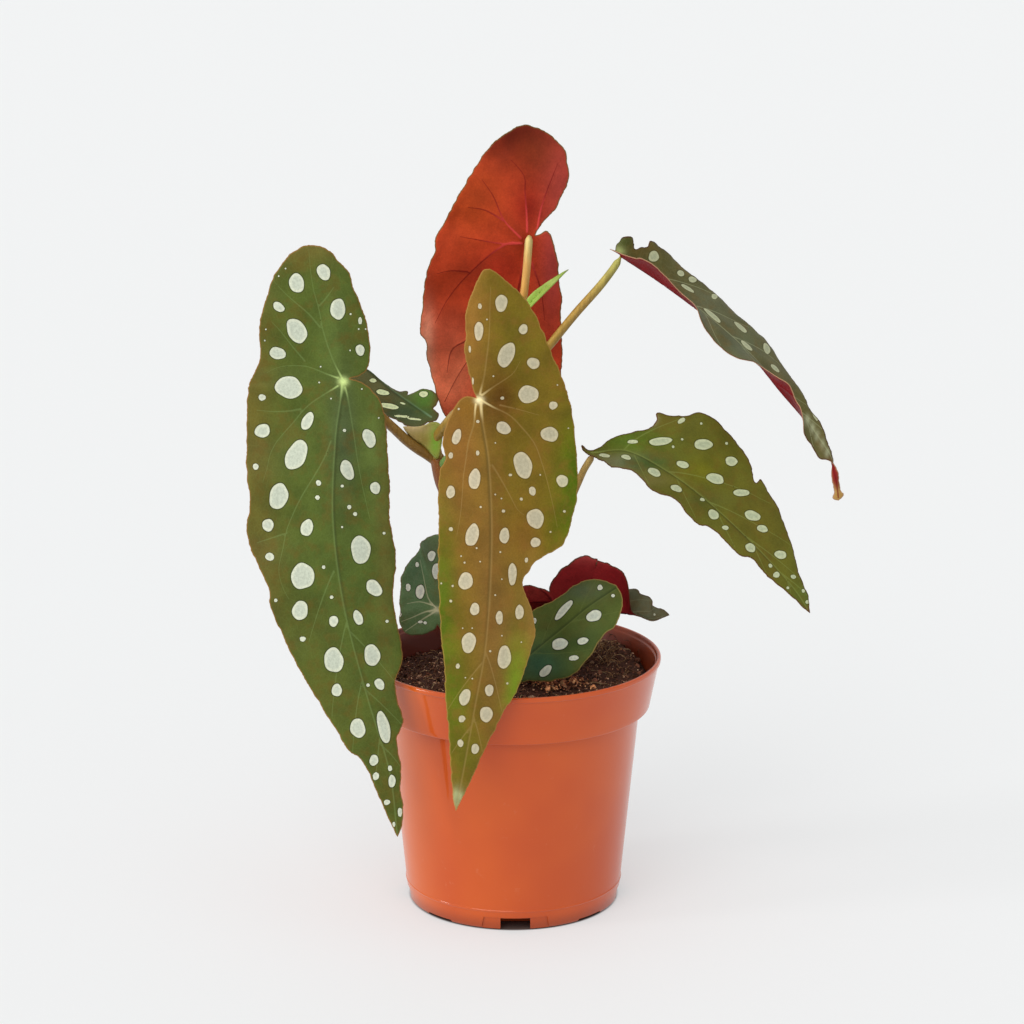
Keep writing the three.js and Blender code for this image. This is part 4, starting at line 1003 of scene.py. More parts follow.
def leaf_top(name, look):
    """The upper side: painted tone, pale veins, a fine net, painted shade beside the midrib, the dots with
    their dark rim.
    """
    n = Nodes(name + " top")
    flat = n.flat()
    base = n.shaded(n.tone(), n.cloud(flat, 0.09, 4.0), 0.86, 1.16)
    base = n.shaded(base, n.cloud(flat, 1.6, 2.0), 0.93, 1.07)
    warm = n.cloud(n.mapped(flat, _1=(40, 7, 3)), 0.14, 5.0, 0.62)
    base = n.mix(n.ramp(warm, 0.46, 0.68, 0.0, look["warm_part"]), base, rgba(look["warm"]))
    base = n.mix(n.ramp(n.net(flat, 0.42), 0.0, 0.09, 0.04, 0.0), base, rgba(look["vein"]))
    from_stalk = n.length(flat)
    line = n.mix(n.ramp(from_stalk, 1.5, 9.0), rgba(look["first_vein"]), rgba(look["vein"]))
    part = n.ramp(from_stalk, 1.5, 8.0, min(look["vein_part"] + 0.35, 0.9), look["vein_part"])
    near = n.ramp(n.value("from_vein"), 0.2, look["vein_reach"], 1.0, 0.0)
    base = n.mix(n.times(near, part), base, line)
    # painted shade beside the midrib, in the dark colour of the dots' rims
    base = n.mix(midrib_shade(n, flat), base, rgba(look["rim_and_shade_colour"]))
    spot = n.value("spot")
    rim = n.times(n.ramp(spot, -0.1, 0.1), n.ramp(spot, 0.2, 0.55, look["rim"], 0.0))
    base = n.mix(rim, base, rgba(look["rim_and_shade_colour"]))
    base = n.mix(n.ramp(spot, -0.12, 0.12, 1.0, 0.0), base, dot_colour(n, flat, spot, look))
    margin = n.ramp(n.value("edge"), 0.15, 0.6, look["margin_part"], 0.0)
    base = n.mix(margin, base, rgba(look["margin"]))
    fine = n.bump(n.cloud(flat, 1.1, 3.0), 0.0002, 0.35)
    return n.finish(base, Roughness=0.45, Specular_IOR_Level=0.08, Normal=fine)


def midrib_shade(n, flat):
    """How far a place lies in the painted shade of the groove beside the midrib, on one side of it."""
    along, across = n.axis(flat, 0), n.axis(flat, 1)
    beside = n.times(n.ramp(across, -1.5, -0.35), n.ramp(across, -0.3, 0.0, 1.0, 0.0))
    return n.times(beside, n.times(n.ramp(along, 2.0, 8.0), n.ramp(along, 60.0, 110.0, 0.5, 0.15)))


def dot_colour(n, flat, spot, look):
    """A dot, greyer in its middle, speckled, with some of the leaf's own tone."""
    middle = (*(colour(look["spot"]) * DOT_MIDDLE), 1)
    dot = n.mix(n.ramp(spot, -1.5, -0.45), middle, rgba(look["spot"]))
    dot = n.shaded(dot, n.cloud(flat, 0.9, 5.0, 0.7), 0.84, 1.1)
    return n.mix(look["dot_tint"], dot, n.tone())


def leaf_under(name, look):
    """The underside: red, with raised darker veins that start bright at the stalk."""
    n = Nodes(name + " under")
    flat = n.flat()
    base = n.shaded(n.tone(), n.cloud(flat, 0.07, 5.0, 0.62), 0.8, 1.22)
    base = n.shaded(base, n.cloud(flat, 1.3, 2.0), 0.94, 1.06)
    base = n.mix(n.ramp(n.net(flat, 0.3), 0.0, 0.08, 0.07, 0.0), base, rgba(look["under_vein"]))
    start = rgba(look["first_under_vein"])
    line = n.mix(n.ramp(n.length(flat), 5.0, 22.0), start, rgba(look["under_vein"]))
    base = n.mix(n.ramp(n.value("from_vein"), 0.3, 1.8, 0.75, 0.0), base, line)
    margin = n.ramp(n.value("edge"), 0.15, 0.6, 0.8, 0.0)
    base = n.mix(margin, base, rgba(look["under_margin"]))
    fine = n.bump(n.cloud(flat, 0.8, 3.0), 0.0003, 0.4)
    return n.finish(base, Roughness=0.5, Specular_IOR_Level=0.08, Normal=fine)


def stem_skin(name, streaks=1.0):
    """A fleshy stem: painted along its length, with fine streaks and specks."""
    n = Nodes(name)
    place = n.place()
    streak = n.cloud(n.mapped(place, Scale=(900, 900, 60)), 1.0, 2.0)
    base = n.shaded(n.tone(), streak, 1 - 0.16 * streaks, 1 + 0.14 * streaks)
    base = n.mix(n.ramp(n.cloud(place, 1500.0, 1.0), 0.66, 0.72, 0.0, 0.35), base, rgba("d8c08a"))
    fine = n.bump(streak, 0.0002, 0.3 * streaks)
    return n.finish(base, Roughness=0.42, Specular_IOR_Level=0.3, Normal=fine)


def pot_plastic():
    """Glossy orange, with dust, a dull inside with soil stain and painted shade, painted light on the left
    side and painted shade at the foot.
    """
    n = Nodes("pot plastic")
    place = n.place()
    height = n.axis(place, 2)
    base = n.mix(n.ramp(n.cloud(place, 22.0, 2.0), 0.3, 0.7), rgba("c8530e"), rgba("c04a0c"))
    dust = n.cloud(place, 260.0, 4.0, 0.7)
    base = n.mix(n.ramp(dust, 0.62, 0.8, 0.0, 0.25), base, rgba("c9835c"))
    # the inside is painted darker: partly soil stain, partly painted shade
    stain_and_shade = inside_stain_and_shade(n, place, height)
    base = n.mix(stain_and_shade, base, rgba("5c2212"))
    # painted light: the left side painted paler, but not inside the pot
    painted_light = n.ramp(n.axis(place, 0), PAINTED_LIGHT_FROM * MM, PAINTED_LIGHT_TO * MM, 0.55, 0.0)
    base = n.mix(n.times(painted_light, n.ramp(stain_and_shade, 0.0, 0.2, 1.0, 0.0)), base, rgba("e0701c"))
    # painted shade at the foot, darker towards the floor
    base = n.mix(n.ramp(height, 1 * MM, FOOT_SHADE_HEIGHT * MM, 0.55, 0.0), base, rgba("7a2c0c"))
    gloss = n.minus(0.72, n.times(stain_and_shade, 0.7))
    fine = n.bump(n.cloud(place, 420.0, 2.0), 0.0001, 0.25)
    return n.finish(
        base, Roughness=0.4, Specular_IOR_Level=0.15, Coat_Weight=gloss, Coat_Roughness=0.09, Normal=fine
    )


def inside_stain_and_shade(n, place, height):
    """How far the wall within the rim band is darkened, by soil stain and by painted shade inside the pot,
    most where the soil lies.
    """
    band = POT_HEIGHT - RIM_BAND
    out = n.minus(n.length(n.mapped(place, Scale=(1, 1, 0))), n.times(height, RIM_LEAN))
    skin = BAND_FOOT_RADIUS - RIM_LEAN * band
    within = n.ramp(out, (skin - 1.1) * MM, (skin - 0.8) * MM, 1.0, 0.0)
    within = n.times(within, n.ramp(height, (band + 1) * MM, (band + 3) * MM))
    return n.times(within, n.ramp(height, (POT_HEIGHT - 7) * MM, (POT_HEIGHT + 2) * MM, 0.9, 0.45))


def soil_mix():
    n = Nodes("soil")
    grain = n.cloud(n.place(), 900.0, 4.0, 0.7)
    base = n.shaded(n.tone(), grain, 0.45, 1.6, 0.25, 0.75)
    return n.finish(base, Roughness=0.9, Specular_IOR_Level=0.2, Normal=n.bump(grain, 0.0004, 0.8))


# Leaves


class Blade:
    """A leaf blade as it lies flat: a runs along the midrib, 0 at the stalk, up to the tip and
    below 0 into the lobe beside the stalk; b runs across, above 0 into the wider half."""

    def __init__(self, leaf):
        self.spine = np.array(leaf["spine"], float)
        self.hand = leaf["hand"]
        self.face = np.array(leaf["face"], float)
        self.rise = [np.array(leaf["rise"][half], float) for half in ("wide", "narrow")]
        self.turn = np.array(leaf.get("turn", [0] * len(self.spine)), float)
        self.curl = leaf.get("curl", 0)
        self.wave = leaf.get("wave", (0, 30, 0))
        self.u = np.linspace(0, len(self.spine) - 1, 601)
        line = smooth(self.spine, self.u)
        run = np.r_[0, np.cumsum(np.linalg.norm(np.diff(line, axis=0), axis=1))]
        self.a = run - np.interp(leaf["stalk_at"], self.u, run)

    def place(self, flat):
        """Points in the frame for places (a, b) on the flat blade."""
        a, b = np.asarray(flat, float).reshape(-1, 2).T
        held = np.clip(a, self.a[0], self.a[-1])
        u = np.interp(held, self.a, self.u)
        last = len(self.spine) - 1
        ahead = smooth(self.spine, np.minimum(u + 0.02, last))
        along = unit(ahead - smooth(self.spine, np.maximum(u - 0.02, 0)))
        point = smooth(self.spine, u) + along * (a - held)[:, None]
        up = unit(self.face - (along @ self.face)[:, None] * along)
        turn = np.radians(smooth(self.turn, u))[:, None]
        up = up * np.cos(turn) + np.cross(along, up) * np.sin(turn)
        across = self.hand * np.cross(along, up)
        side = np.where(b >= 0, 1.0, -1.0)
        rise = np.radians(np.where(b >= 0, smooth(self.rise[0], u), smooth(self.rise[1], u)))
        out = np.abs(b)
        angle = rise - self.curl * out / 2
        height, length, phase = self.wave
        swing = height * np.minimum(out / 20, 1.5) ** 2 * np.sin(2 * np.pi * a / length + phase)
        point += across * (side * out * np.cos(angle))[:, None]
        return point + up * (out * np.sin(angle) + side * swing)[:, None]

    def flat_at(self, pixels, outline):
        """The places on the flat blade that are seen at these pixels of the photo, on the
        nearer part where the blade overlaps itself."""
        pixels = np.asarray(pixels, float).reshape(-1, 2)
        a = np.linspace(outline[:, 0].min(), outline[:, 0].max(), 90)
        b = np.linspace(outline[:, 1].min(), outline[:, 1].max(), 50)
        grid = np.stack(np.meshgrid(a, b), -1).reshape(-1, 2)
        grid = grid[inside(grid, outline)]
        sheet = self.place(grid)
        where, depth = seen(sheet), (sheet - VIEW_FROM) @ VIEW_AHEAD
        flat = grid[[np.argmin(((where - p) ** 2).sum(1) + depth) for p in pixels]]
        for _ in range(6):
            miss = pixels - seen(self.place(flat))
            slopes = self.slopes(flat) + 1e-6 * np.eye(2)
            step = np.stack([np.linalg.solve(slope, m) for slope, m in zip(slopes, miss)])
            flat = flat + np.clip(step, -2, 2)
        return flat

    def under(self, depth):
        """The point so far under the blade's attachment to its stalk."""
        here, ahead, beside = self.place([(0, 0), (1, 0), (0, 1)])
        return here + unit(np.cross(ahead - here, beside - here)) * self.hand * depth

    def slopes(self, flat):
        """How many pixels of the photo a millimetre of the flat blade covers, each way."""
        at = seen(self.place(flat))
        return np.stack([seen(self.place(flat + d)) - at for d in ((0.1, 0), (0, 0.1))], -1) / 0.1


def outline_of(leaf):
    """The blade's closed, slightly ragged outline, from the lobe up the wide side to the tip."""
    step = FINE * 0.9
    wide = spaced(leaf["lobe"][::-1] + leaf["wide"][1:], step)
    narrow = spaced(leaf["narrow"], step)[::-1]
    loop = np.vstack([wide[:-1], narrow[:-1]])
    out = unit(np.roll(loop, -1, axis=0) - np.roll(loop, 1, axis=0)) @ np.array([[0, 1], [-1, 0]])
    broad = np.array([noise.noise(Vector((*p, 0)) / 3.5) for p in loop])
    fine = np.array([noise.noise(Vector((*p, 9)) / 1.1) for p in loop])
    return loop + out * (broad * 0.5 + fine * 0.25)[:, None] * leaf.get("ragged", 0.9)


def reach(outline, a, side):
    """How far out the blade goes at a, on one side of the midrib."""
    rows = outline[(outline[:, 1] * side > 0) & (np.abs(outline[:, 0] - a) < 3)]
    return np.abs(rows[:, 1]).max() if len(rows) else 0.0


def bend(start, middle, end):
    """A curve from start to end, drawn towards the middle point."""
    t = np.linspace(0, 1, 12)[:, None]
    return (1 - t) ** 2 * np.array(start) + 2 * t * (1 - t) * np.array(middle) + t**2 * np.array(end)


def veins_of(look, blade, outline):
    """The veins as (points, width at the start, width at the end): the midrib, those seen in
    the photo, and others that leave the midrib by a rule."""
    tip = outline[:, 0].max()
    foot = outline[:, 0].min()
    veins = [(np.array([(0, 0), (tip * 0.5, 0), (tip - 1.5, 0)]), 0.45, 0.2)]
    for line in look["veins"]:
        veins.append((spaced(blade.flat_at(line, outline), 2), 0.36, 0.07))
    if foot < -8 and not look["veins"]:
        veins += lobe_veins(outline, foot)
    for side in (1, -1):
        a = look["first_side_vein"] + (4 if side < 0 else 0)
        while a < tip * 0.86:
            wide = reach(outline, a, side)
            end = min(a + 1.25 * wide, tip - 3)
            out = 0.86 * reach(outline, end, side)
            if out > 2:
                middle = (a + 0.5 * wide, side * 0.5 * out)
                veins.append((bend((a, 0), middle, (end, side * out)), 0.3, 0.1))
            a += look["vein_step"]
    return veins


def lobe_veins(outline, foot):
    """The veins that run from the stalk into the lobe, by a rule."""
    deep = foot * 0.9
    line = bend((0, 0), (foot * 0.5, 1), (deep, reach(outline, deep, 1) * 0.2))
    veins = [(line, 0.6, 0.25)]
    for side, turn in ((1, 0.35), (1, 0.8), (-1, 0.5)):
        a = foot * (1 - turn) * 0.9
        out = side * reach(outline, a, side) * 0.85
        veins.append((bend((0, 0), (a * 0.2, out * 0.5), (a, out)), 0.5, 0.22))
    return veins


def dot_row(across, down, wide, tall=None, lean=0):
    """A dot's full row: a round one gives its half width only."""
    return across, down, wide, tall or wide, math.radians(lean)


class Spots:
    """The dots on a blade, each an ellipse with a slightly uneven rim."""

    def __init__(self, look, blade, outline, draw):
        self.centres, self.shapes, self.rims = [], [], []
        if look["spots"]:
            rows = np.array([dot_row(*s) for s in look["spots"]], float)
            centres = blade.flat_at(rows[:, :2], outline)
            for centre, slope, (_, _, wide, tall, lean) in zip(centres, blade.slopes(centres), rows):
                size = np.diag([1 / (wide * DOT_SIZE), 1 / (tall * DOT_SIZE)])
                turn = np.array([[math.cos(lean), math.sin(lean)], [-math.sin(lean), math.cos(lean)]])
                self.add(centre, size @ turn @ slope, draw)
        low, high = outline.min(0), outline.max(0)
        for _ in range(look["tries"]):
            centre = np.array([draw.uniform(low[0], high[0]), draw.uniform(low[1], high[1])])
            size = draw.choice(HIDDEN_DOTS)
            if self.fits(centre, size, look, blade, outline):
                stretch = draw.uniform(1, 1.35)
                self.add(centre, np.diag([1 / (size * stretch), 1 / size]), draw)

    def fits(self, centre, size, look, blade, outline):
        """Whether a new dot lies on the blade, clear of the others and of what is seen."""
        if not inside(centre[None], outline)[0]:
            return False
        if from_edge(centre[None], outline)[0] < size + 1.5:
            return False
        for other, shape in zip(self.centres, self.shapes):
            if np.linalg.norm(centre - other) < size + 4.5 + radius_of(shape):
                return False
        u, v = seen(blade.place(centre))[0]
        return not any(left < u < right and top < v < low for left, top, right, low in look["seen_part"])

    def add(self, centre, shape, draw):
        self.centres.append(centre)
        self.shapes.append(shape)
        self.rims.append([draw.uniform(0, 6.3) for _ in range(3)])

    def gap(self, flat):
        """Each place's distance to the nearest dot's rim, below 0 inside a dot."""
        best = np.full(len(flat), 3.0)
        for centre, shape, (p, q, r) in zip(self.centres, self.shapes, self.rims):
            near = np.abs(flat - centre).max(1) < 16
            local = (flat[near] - centre) @ shape.T
            size = np.maximum(np.linalg.norm(local, axis=1), 1e-6)
            way = np.arctan2(local[:, 1], local[:, 0])
            uneven = 1 + 0.05 * np.sin(2 * way + p) + 0.035 * np.sin(3 * way + q) + 0.02 * np.sin(5 * way + r)
            slope = np.linalg.norm((local / size[:, None]) @ shape, axis=1)
            away = (size / uneven - 1) / np.maximum(slope, 1e-6)
            if radius_of(shape) < TINY_DOT:
                away = np.where(away > 0, away * 2.2, away) - 0.08
            best[near] = np.minimum(best[near], away)
        return best

    def extra(self):
        """Mesh points that hold the form of the smallest dots."""
        ring = [np.array([math.cos(t), math.sin(t)]) for t in np.arange(6) * math.pi / 3]
        found = []
        for centre, shape in zip(self.centres, self.shapes):
            if radius_of(shape) < 1.3:
                back = np.linalg.inv(shape)
                found.append(centre)
                found += [centre + back @ r * k for r in ring for k in (0.75, 1.25)]
        return found


def radius_of(shape):
    """The mean radius of a dot with this shape."""
    return 1 / math.sqrt(abs(np.linalg.det(shape)))


def leaf(name, data, look):
    """A blade with raised veins below and dots above, from its data in the frame."""
    draw = random.Random(name)
    blade = Blade(data)
    outline = outline_of(data)
    veins = veins_of(look, blade, outline)
    spots = Spots(look, blade, outline, draw)
    flat, triangles = blade_mesh(blade, outline, veins, spots, draw)
    starts = np.vstack([line[:-1] for line, _, _ in veins])
    ends = np.vstack([line[1:] for line, _, _ in veins])
    widths = np.concatenate([np.linspace(wide, thin, len(line))[:-1] for line, wide, thin in veins])
    gap, which = from_lines(flat, starts, ends)
    width = widths[which]
    vein = np.exp(-((gap / width) ** 2))
    edge = from_edge(flat, outline)
    sheet = blade.place(flat)
    puff = PUFF * (1 - np.exp(-((gap / PUFF_WIDTH) ** 2))) * np.clip(edge / PUFF_MARGIN, 0, 1)
    sheet = sheet + normals_of(sheet, triangles) * (puff - VEIN_GROOVE * width * vein)[:, None]
    normals = normals_of(sheet, triangles)
    half = BLADE / 2 * (THIN_EDGE + (1 - THIN_EDGE) * np.clip(edge / EDGE_WIDTH, 0, 1))
    under = half + width * vein * VEIN_RIDGE
    over, under = sheet + normals * half[:, None], sheet - normals * under[:, None]
    points, faces = two_sided(over, under, triangles)
    pixels = seen(sheet)
    tones = [painted(pixels, look["top"], look["paint"]), painted(pixels, look["under"], look["under_paint"])]
    values = {"from_vein": gap / width, "edge": edge, "spot": spots.gap(flat)}
    piece = make_object(
        f"leaf_{name}_blade", points, faces, f"leaf_{name}",
        [leaf_top(name, look), leaf_under(name, look)], np.vstack(tones), np.vstack([flat, flat]),
        {key: np.tile(numbers, 2) for key, numbers in values.items()},
    )
    side = np.zeros(len(faces), int)
    side[len(triangles) :] = 1
    piece.data.polygons.foreach_set("material_index", side)


def blade_mesh(blade, outline, veins, spots, draw):
    """Triangles over the flat blade: an even grid with points along its veins and dots."""
    low, high = outline.min(0), outline.max(0)
    rows = []
    for j, b in enumerate(np.arange(low[1], high[1], FINE * 0.87)):
        for a in np.arange(low[0] + (FINE / 2 if j % 2 else 0), high[0], FINE):
            rows.append((a + draw.uniform(-0.1, 0.1) * FINE, b + draw.uniform(-0.1, 0.1) * FINE))
    rows = np.array(rows)
    rows = rows[inside(rows, outline)]
    rows = rows[from_edge(rows, outline) > FINE * 0.55]
    points = [tuple(p) for p in outline]
    lines = [(i, (i + 1) % len(outline)) for i in range(len(outline))]
    kept = []
    for path, _, _ in veins:
        path = spaced(path, FINE)
        path = path[inside(path, outline)]
        path = path[from_edge(path, outline) > FINE * 0.6]
        if len(path) < 2:
            continue
        start = len(points)
        steps = np.linalg.norm(np.diff(path, axis=0), axis=1)
        lines += [(start + i, start + i + 1) for i, step in enumerate(steps) if step < 2.5 * FINE]
        points += [tuple(p) for p in path]
        kept.append(path)
    if kept:
        rows = rows[from_points(rows, np.vstack(kept)) > FINE * 0.45]
    extra = [p for p in spots.extra() if inside(np.array([p]), outline)[0]]
    if extra:
        rows = rows[from_points(rows, np.array(extra)) > FINE * 0.4]
        points += [tuple(p) for p in extra]
    points += [tuple(p) for p in rows]
    vectors = [Vector(p) for p in points]
    made, _, faces, *_ = geometry.delaunay_2d_cdt(vectors, lines, [], 1, 1e-5)
    faces = np.array([tuple(f) for f in faces])
    return np.array([tuple(p) for p in made]), faces[:, ::-1] if blade.hand > 0 else faces


def bract(name, data, look, node):
    """A small thin bract or sheath."""
    draw = random.Random(name)
    blade = Blade(data)
    outline = outline_of(data)
    midrib = (np.array([(1, 0), (outline[:, 0].max() - 1, 0)]), 0.3, 0.2)
    no_spots = Spots(PLAIN_LOOK, blade, outline, draw)
    flat, triangles = blade_mesh(blade, outline, [midrib], no_spots, draw)
    sheet = blade.place(flat)
    normals = normals_of(sheet, triangles)
    points, faces = two_sided(sheet + normals * 0.3, sheet - normals * 0.3, triangles)
    tones = painted(seen(sheet), look["top"], look["paint"])
    make_object(name, points, faces, node, [BRACT_SKIN], np.vstack([tones, tones]))


# Stems


def stem(name, line, radii, node, colours, sides=20, step=0.9, taper=0):
    """A round stem along the line, its radii and colours spread evenly over it, painted paler on one
    side as painted light, that tapers over its last few millimetres."""
    line = spaced(line, step * (1))
    part = np.linspace(0, 1, len(line))
    size = smooth(radii, part * (len(radii) - 1))
    if taper:
        size = size * np.clip((1 - part) * len(line) * step / taper, 0.35, 1)
    hues = np.array([colour(c) for c in colours])
    hue = np.stack([np.interp(part, np.linspace(0, 1, len(hues)), hues[:, k]) for k in range(3)], -1)
    along = unit(np.gradient(line, axis=0))
    first = np.cross(along[0], (0.3, 0.9, 0.1))
    points, tones = [], []
    for centre, way, radius, tone in zip(line, along, size, hue):
        first = unit(first - way * (first @ way))
        second = np.cross(way, first)
        for k in range(sides):
            turn = 2 * math.pi * k / sides
            out = math.cos(turn) * first + math.sin(turn) * second
            uneven = 1 + 0.035 * math.sin(3 * turn + centre[2] / 14) + 0.02 * math.sin(5 * turn)
            points.append(centre + radius * uneven * out)
            # painted light: each point is paler the more it faces the lit side, and darker elsewhere as
            # painted shade
            tones.append(tone * (0.78 + 0.5 * max(0, out @ PAINTED_LIGHT_SIDE) ** 3))
    faces = ring_faces(len(line), sides) + end_faces(len(line), sides)
    make_object(name, points, faces, node, [STEM_SKIN], np.array(tones))


# Pot


def filleted(corners):
    """A line through corners (x, y, radius), each rounded by its radius."""
    line = []
    for i, (x, y, radius) in enumerate(corners):
        here = np.array([x, y], float)
        if radius == 0 or i in (0, len(corners) - 1):
            line.append(here)
            continue
        back = unit(np.array(corners[i - 1][:2]) - here)
        ahead = unit(np.array(corners[i + 1][:2]) - here)
        turn = math.acos(np.clip(-(back @ ahead), -1, 1))
        length = radius * math.tan(turn / 2)
        middle = here + unit(back + ahead) * radius / math.cos(turn / 2)
        start, end = here + back * length - middle, here + ahead * length - middle
        steps = max(2, round(turn / 0.35))
        for t in np.arange(steps + 1) / steps:
            line.append(middle + unit(start * (1 - t) + end * t) * radius)
    return line


def lathe(line, around):
    """Rings of points, of a line of (radius, height) turned round the pot's axis."""
    turns = [2 * math.pi * k / around for k in range(around)]
    return [(*turned(radius, 0, turn), height) for radius, height in line for turn in turns]


def mesh_tool(name, points, faces):
    """A mesh that only cuts others."""
    mesh = bpy.data.meshes.new(name)
    mesh.from_pydata((np.array(points) * MM).tolist(), [], faces)
    tool = bpy.data.objects.new(name, mesh)
    bpy.context.scene.collection.objects.link(tool)
    return tool


def blocks(name, near, far, low, high, width, foot_width=None, between=0):
    """A box over each foot slot, from one radius to another, wider at its foot if need be;
    between is 0.5 for boxes halfway between the slots."""
    points, faces = [], []
    for i in range(FOOT_SLOTS):
        turn = 2 * math.pi * (i + between) / FOOT_SLOTS - math.pi / 2 + SLOT_TURN
        start = len(points)
        for x in (near, far):
            for way in (-0.5, 0.5):
                for z, across in ((low, foot_width or width), (high, width)):
                    points.append((*turned(x, way * across, turn), z))
        corners = ((0, 1, 3, 2), (4, 6, 7, 5), (0, 4, 5, 1), (2, 3, 7, 6), (0, 2, 6, 4), (1, 5, 7, 3))
        faces += [tuple(start + c for c in f) for f in corners]
    return mesh_tool(name, points, faces)


def cut(piece, tool, how="DIFFERENCE"):
    change = piece.modifiers.new("cut", "BOOLEAN")
    change.object = tool
    change.operation = how
    change.solver = "MANIFOLD"
    bpy.context.view_layer.objects.active = piece
    bpy.ops.object.modifier_apply(modifier=change.name)
    bpy.data.objects.remove(tool)


def pot_line():
    """The pot's wall as corners (radius, height, rounding), up the outside and down inside."""
    band = POT_HEIGHT - RIM_BAND
    seam_radius = BASE_RADIUS + POT_LEAN * SEAM
    lip = RIM_RADIUS - WALL
    return [
        (0, 0, 0), (BASE_RADIUS - 0.1, 0, 1.6), (seam_radius, SEAM - 0.5, 0.4),
        (seam_radius + 0.28, SEAM - 0.1, 0.15), (seam_radius + 0.28, SEAM + 0.15, 0.15),
        (seam_radius + 0.05, SEAM + 0.5, 0.3),
        (SHOULDER_RADIUS, band - 1.4, 0.5), (BAND_FOOT_RADIUS - 0.4, band - 0.6, 0.7),
        (BAND_FOOT_RADIUS + 0.1, band + 2, 1.2), (RIM_RADIUS - 0.75, POT_HEIGHT - 2.2, 0.4),
        (RIM_RADIUS, POT_HEIGHT - 1.8, 0.4), (RIM_RADIUS, POT_HEIGHT, 0.7), (lip, POT_HEIGHT, 0.6),
        (lip - 0.3, POT_HEIGHT - 1.6, 0.5), (lip - 0.9, POT_HEIGHT - 2, 0.5),
        (BAND_FOOT_RADIUS - WALL, band + 1.4, 0.6), (SHOULDER_RADIUS - WALL + 0.3, band - 0.2, 0.6),
        (SHOULDER_RADIUS - WALL, band - 1.8, 0.6), (BASE_RADIUS - WALL, WALL, 1), (0, WALL, 0),
    ]


def pot():
    line = filleted(pot_line())[1:-1]
    around = 240
    points = lathe(line, around)
    faces = ring_faces(len(line), around) + end_faces(len(line), around)
    plastic = pot_plastic()
    piece = make_object("pot_shell", points, faces, "pot", [plastic])
    cut_foot(piece, around)
    piece.data.materials.clear()
    piece.data.materials.append(plastic)
    piece.data.polygons.foreach_set("material_index", [0] * len(piece.data.polygons))
    piece.data.shade_smooth()
    piece.data.set_sharp_from_angle(angle=math.radians(32))


def cut_foot(piece, around):
    """Pads inside the foot, flat panels outside, and the slots, notches and drain openings."""
    inner, outer = BASE_RADIUS - SLOT_DEPTH, BASE_RADIUS + 5
    notch = BASE_RADIUS - NOTCH_DEPTH
    skin = BASE_RADIUS - WALL + 0.3
    cut(piece, blocks("pads", inner - WALL, skin, 0.5, SLOT_HEIGHT + WALL, SLOT_WIDTH + 2 * WALL), "UNION")
    pads = blocks("pads", notch - WALL, skin, 0.5, NOTCH_HEIGHT + WALL, NOTCH_WIDTH + 2 * WALL, between=0.5)
    cut(piece, pads, "UNION")
    panels = blocks("panels", inner, outer, -2, PANEL_HEIGHT + 2, PANEL_WIDTH, PANEL_WIDTH + 3)
    face = BASE_RADIUS - PANEL_DEPTH
    ring = [
        (outer, -1), (outer, PANEL_HEIGHT), (face + POT_LEAN * PANEL_HEIGHT, PANEL_HEIGHT),
        (face - POT_LEAN, -1),
    ]
    panel_skin = mesh_tool("panel_skin", lathe(ring, around), ring_faces(len(ring), around, closed=True))
    cut(panels, panel_skin, "INTERSECT")
    cut(piece, panels)
    cut(piece, blocks("slots", inner, outer, -1, SLOT_HEIGHT, SLOT_WIDTH + SLOT_FLARE))
    cut(piece, blocks("slot_feet", inner + 4, outer, -0.6, 1.3, SLOT_WIDTH - 0.1, SLOT_WIDTH + 3.4))
    cut(piece, blocks("notches", notch, outer, -1, NOTCH_HEIGHT, NOTCH_WIDTH - 1, NOTCH_WIDTH + 2, 0.5))
    drain = inner + DRAIN_INSET
    cut(piece, blocks("drains", drain, drain + DRAIN, 0, 9, SLOT_WIDTH - 2 * DRAIN_INSET))


# Soil


def soil_height(x, y):
    """The height of the soil's rough surface, with a heap at its back right."""
    far = math.hypot(x, y) / 56
    heap = BACK_HEAP_RISE * math.exp(-((x - BACK_HEAP[0]) ** 2 + (y - BACK_HEAP[1]) ** 2) / 230)
    rough = noise.noise(Vector((x / 9, y / 9, 3))) * 1.5 + noise.noise(Vector((x / 3.2, y / 3.2, 7))) * 0.7
    sunk = 1.0 if far > 0.97 else 0
    return SOIL_TOP + heap + 1.2 * (1 - far**2) + rough * (1 if far < 0.95 else 0.4) - sunk


class Heap:
    """Points, faces and colours of the soil's surface and of all that lies on it."""

    def __init__(self, edge):
        self.edge = edge
        self.draw = random.Random("soil")
        self.points, self.faces, self.tones = [], [], []

    def add(self, points, faces, tone):
        start = len(self.points)
        self.points += [tuple(p) for p in points]
        self.faces += [tuple(start + k for k in f) for f in faces]
        self.tones += [tone] * len(points)

    def spot(self, margin):
        """A place drawn evenly over the soil."""
        far = (self.edge - margin) * math.sqrt(self.draw.random())
        return turned(far, 0, self.draw.uniform(0, 2 * math.pi))


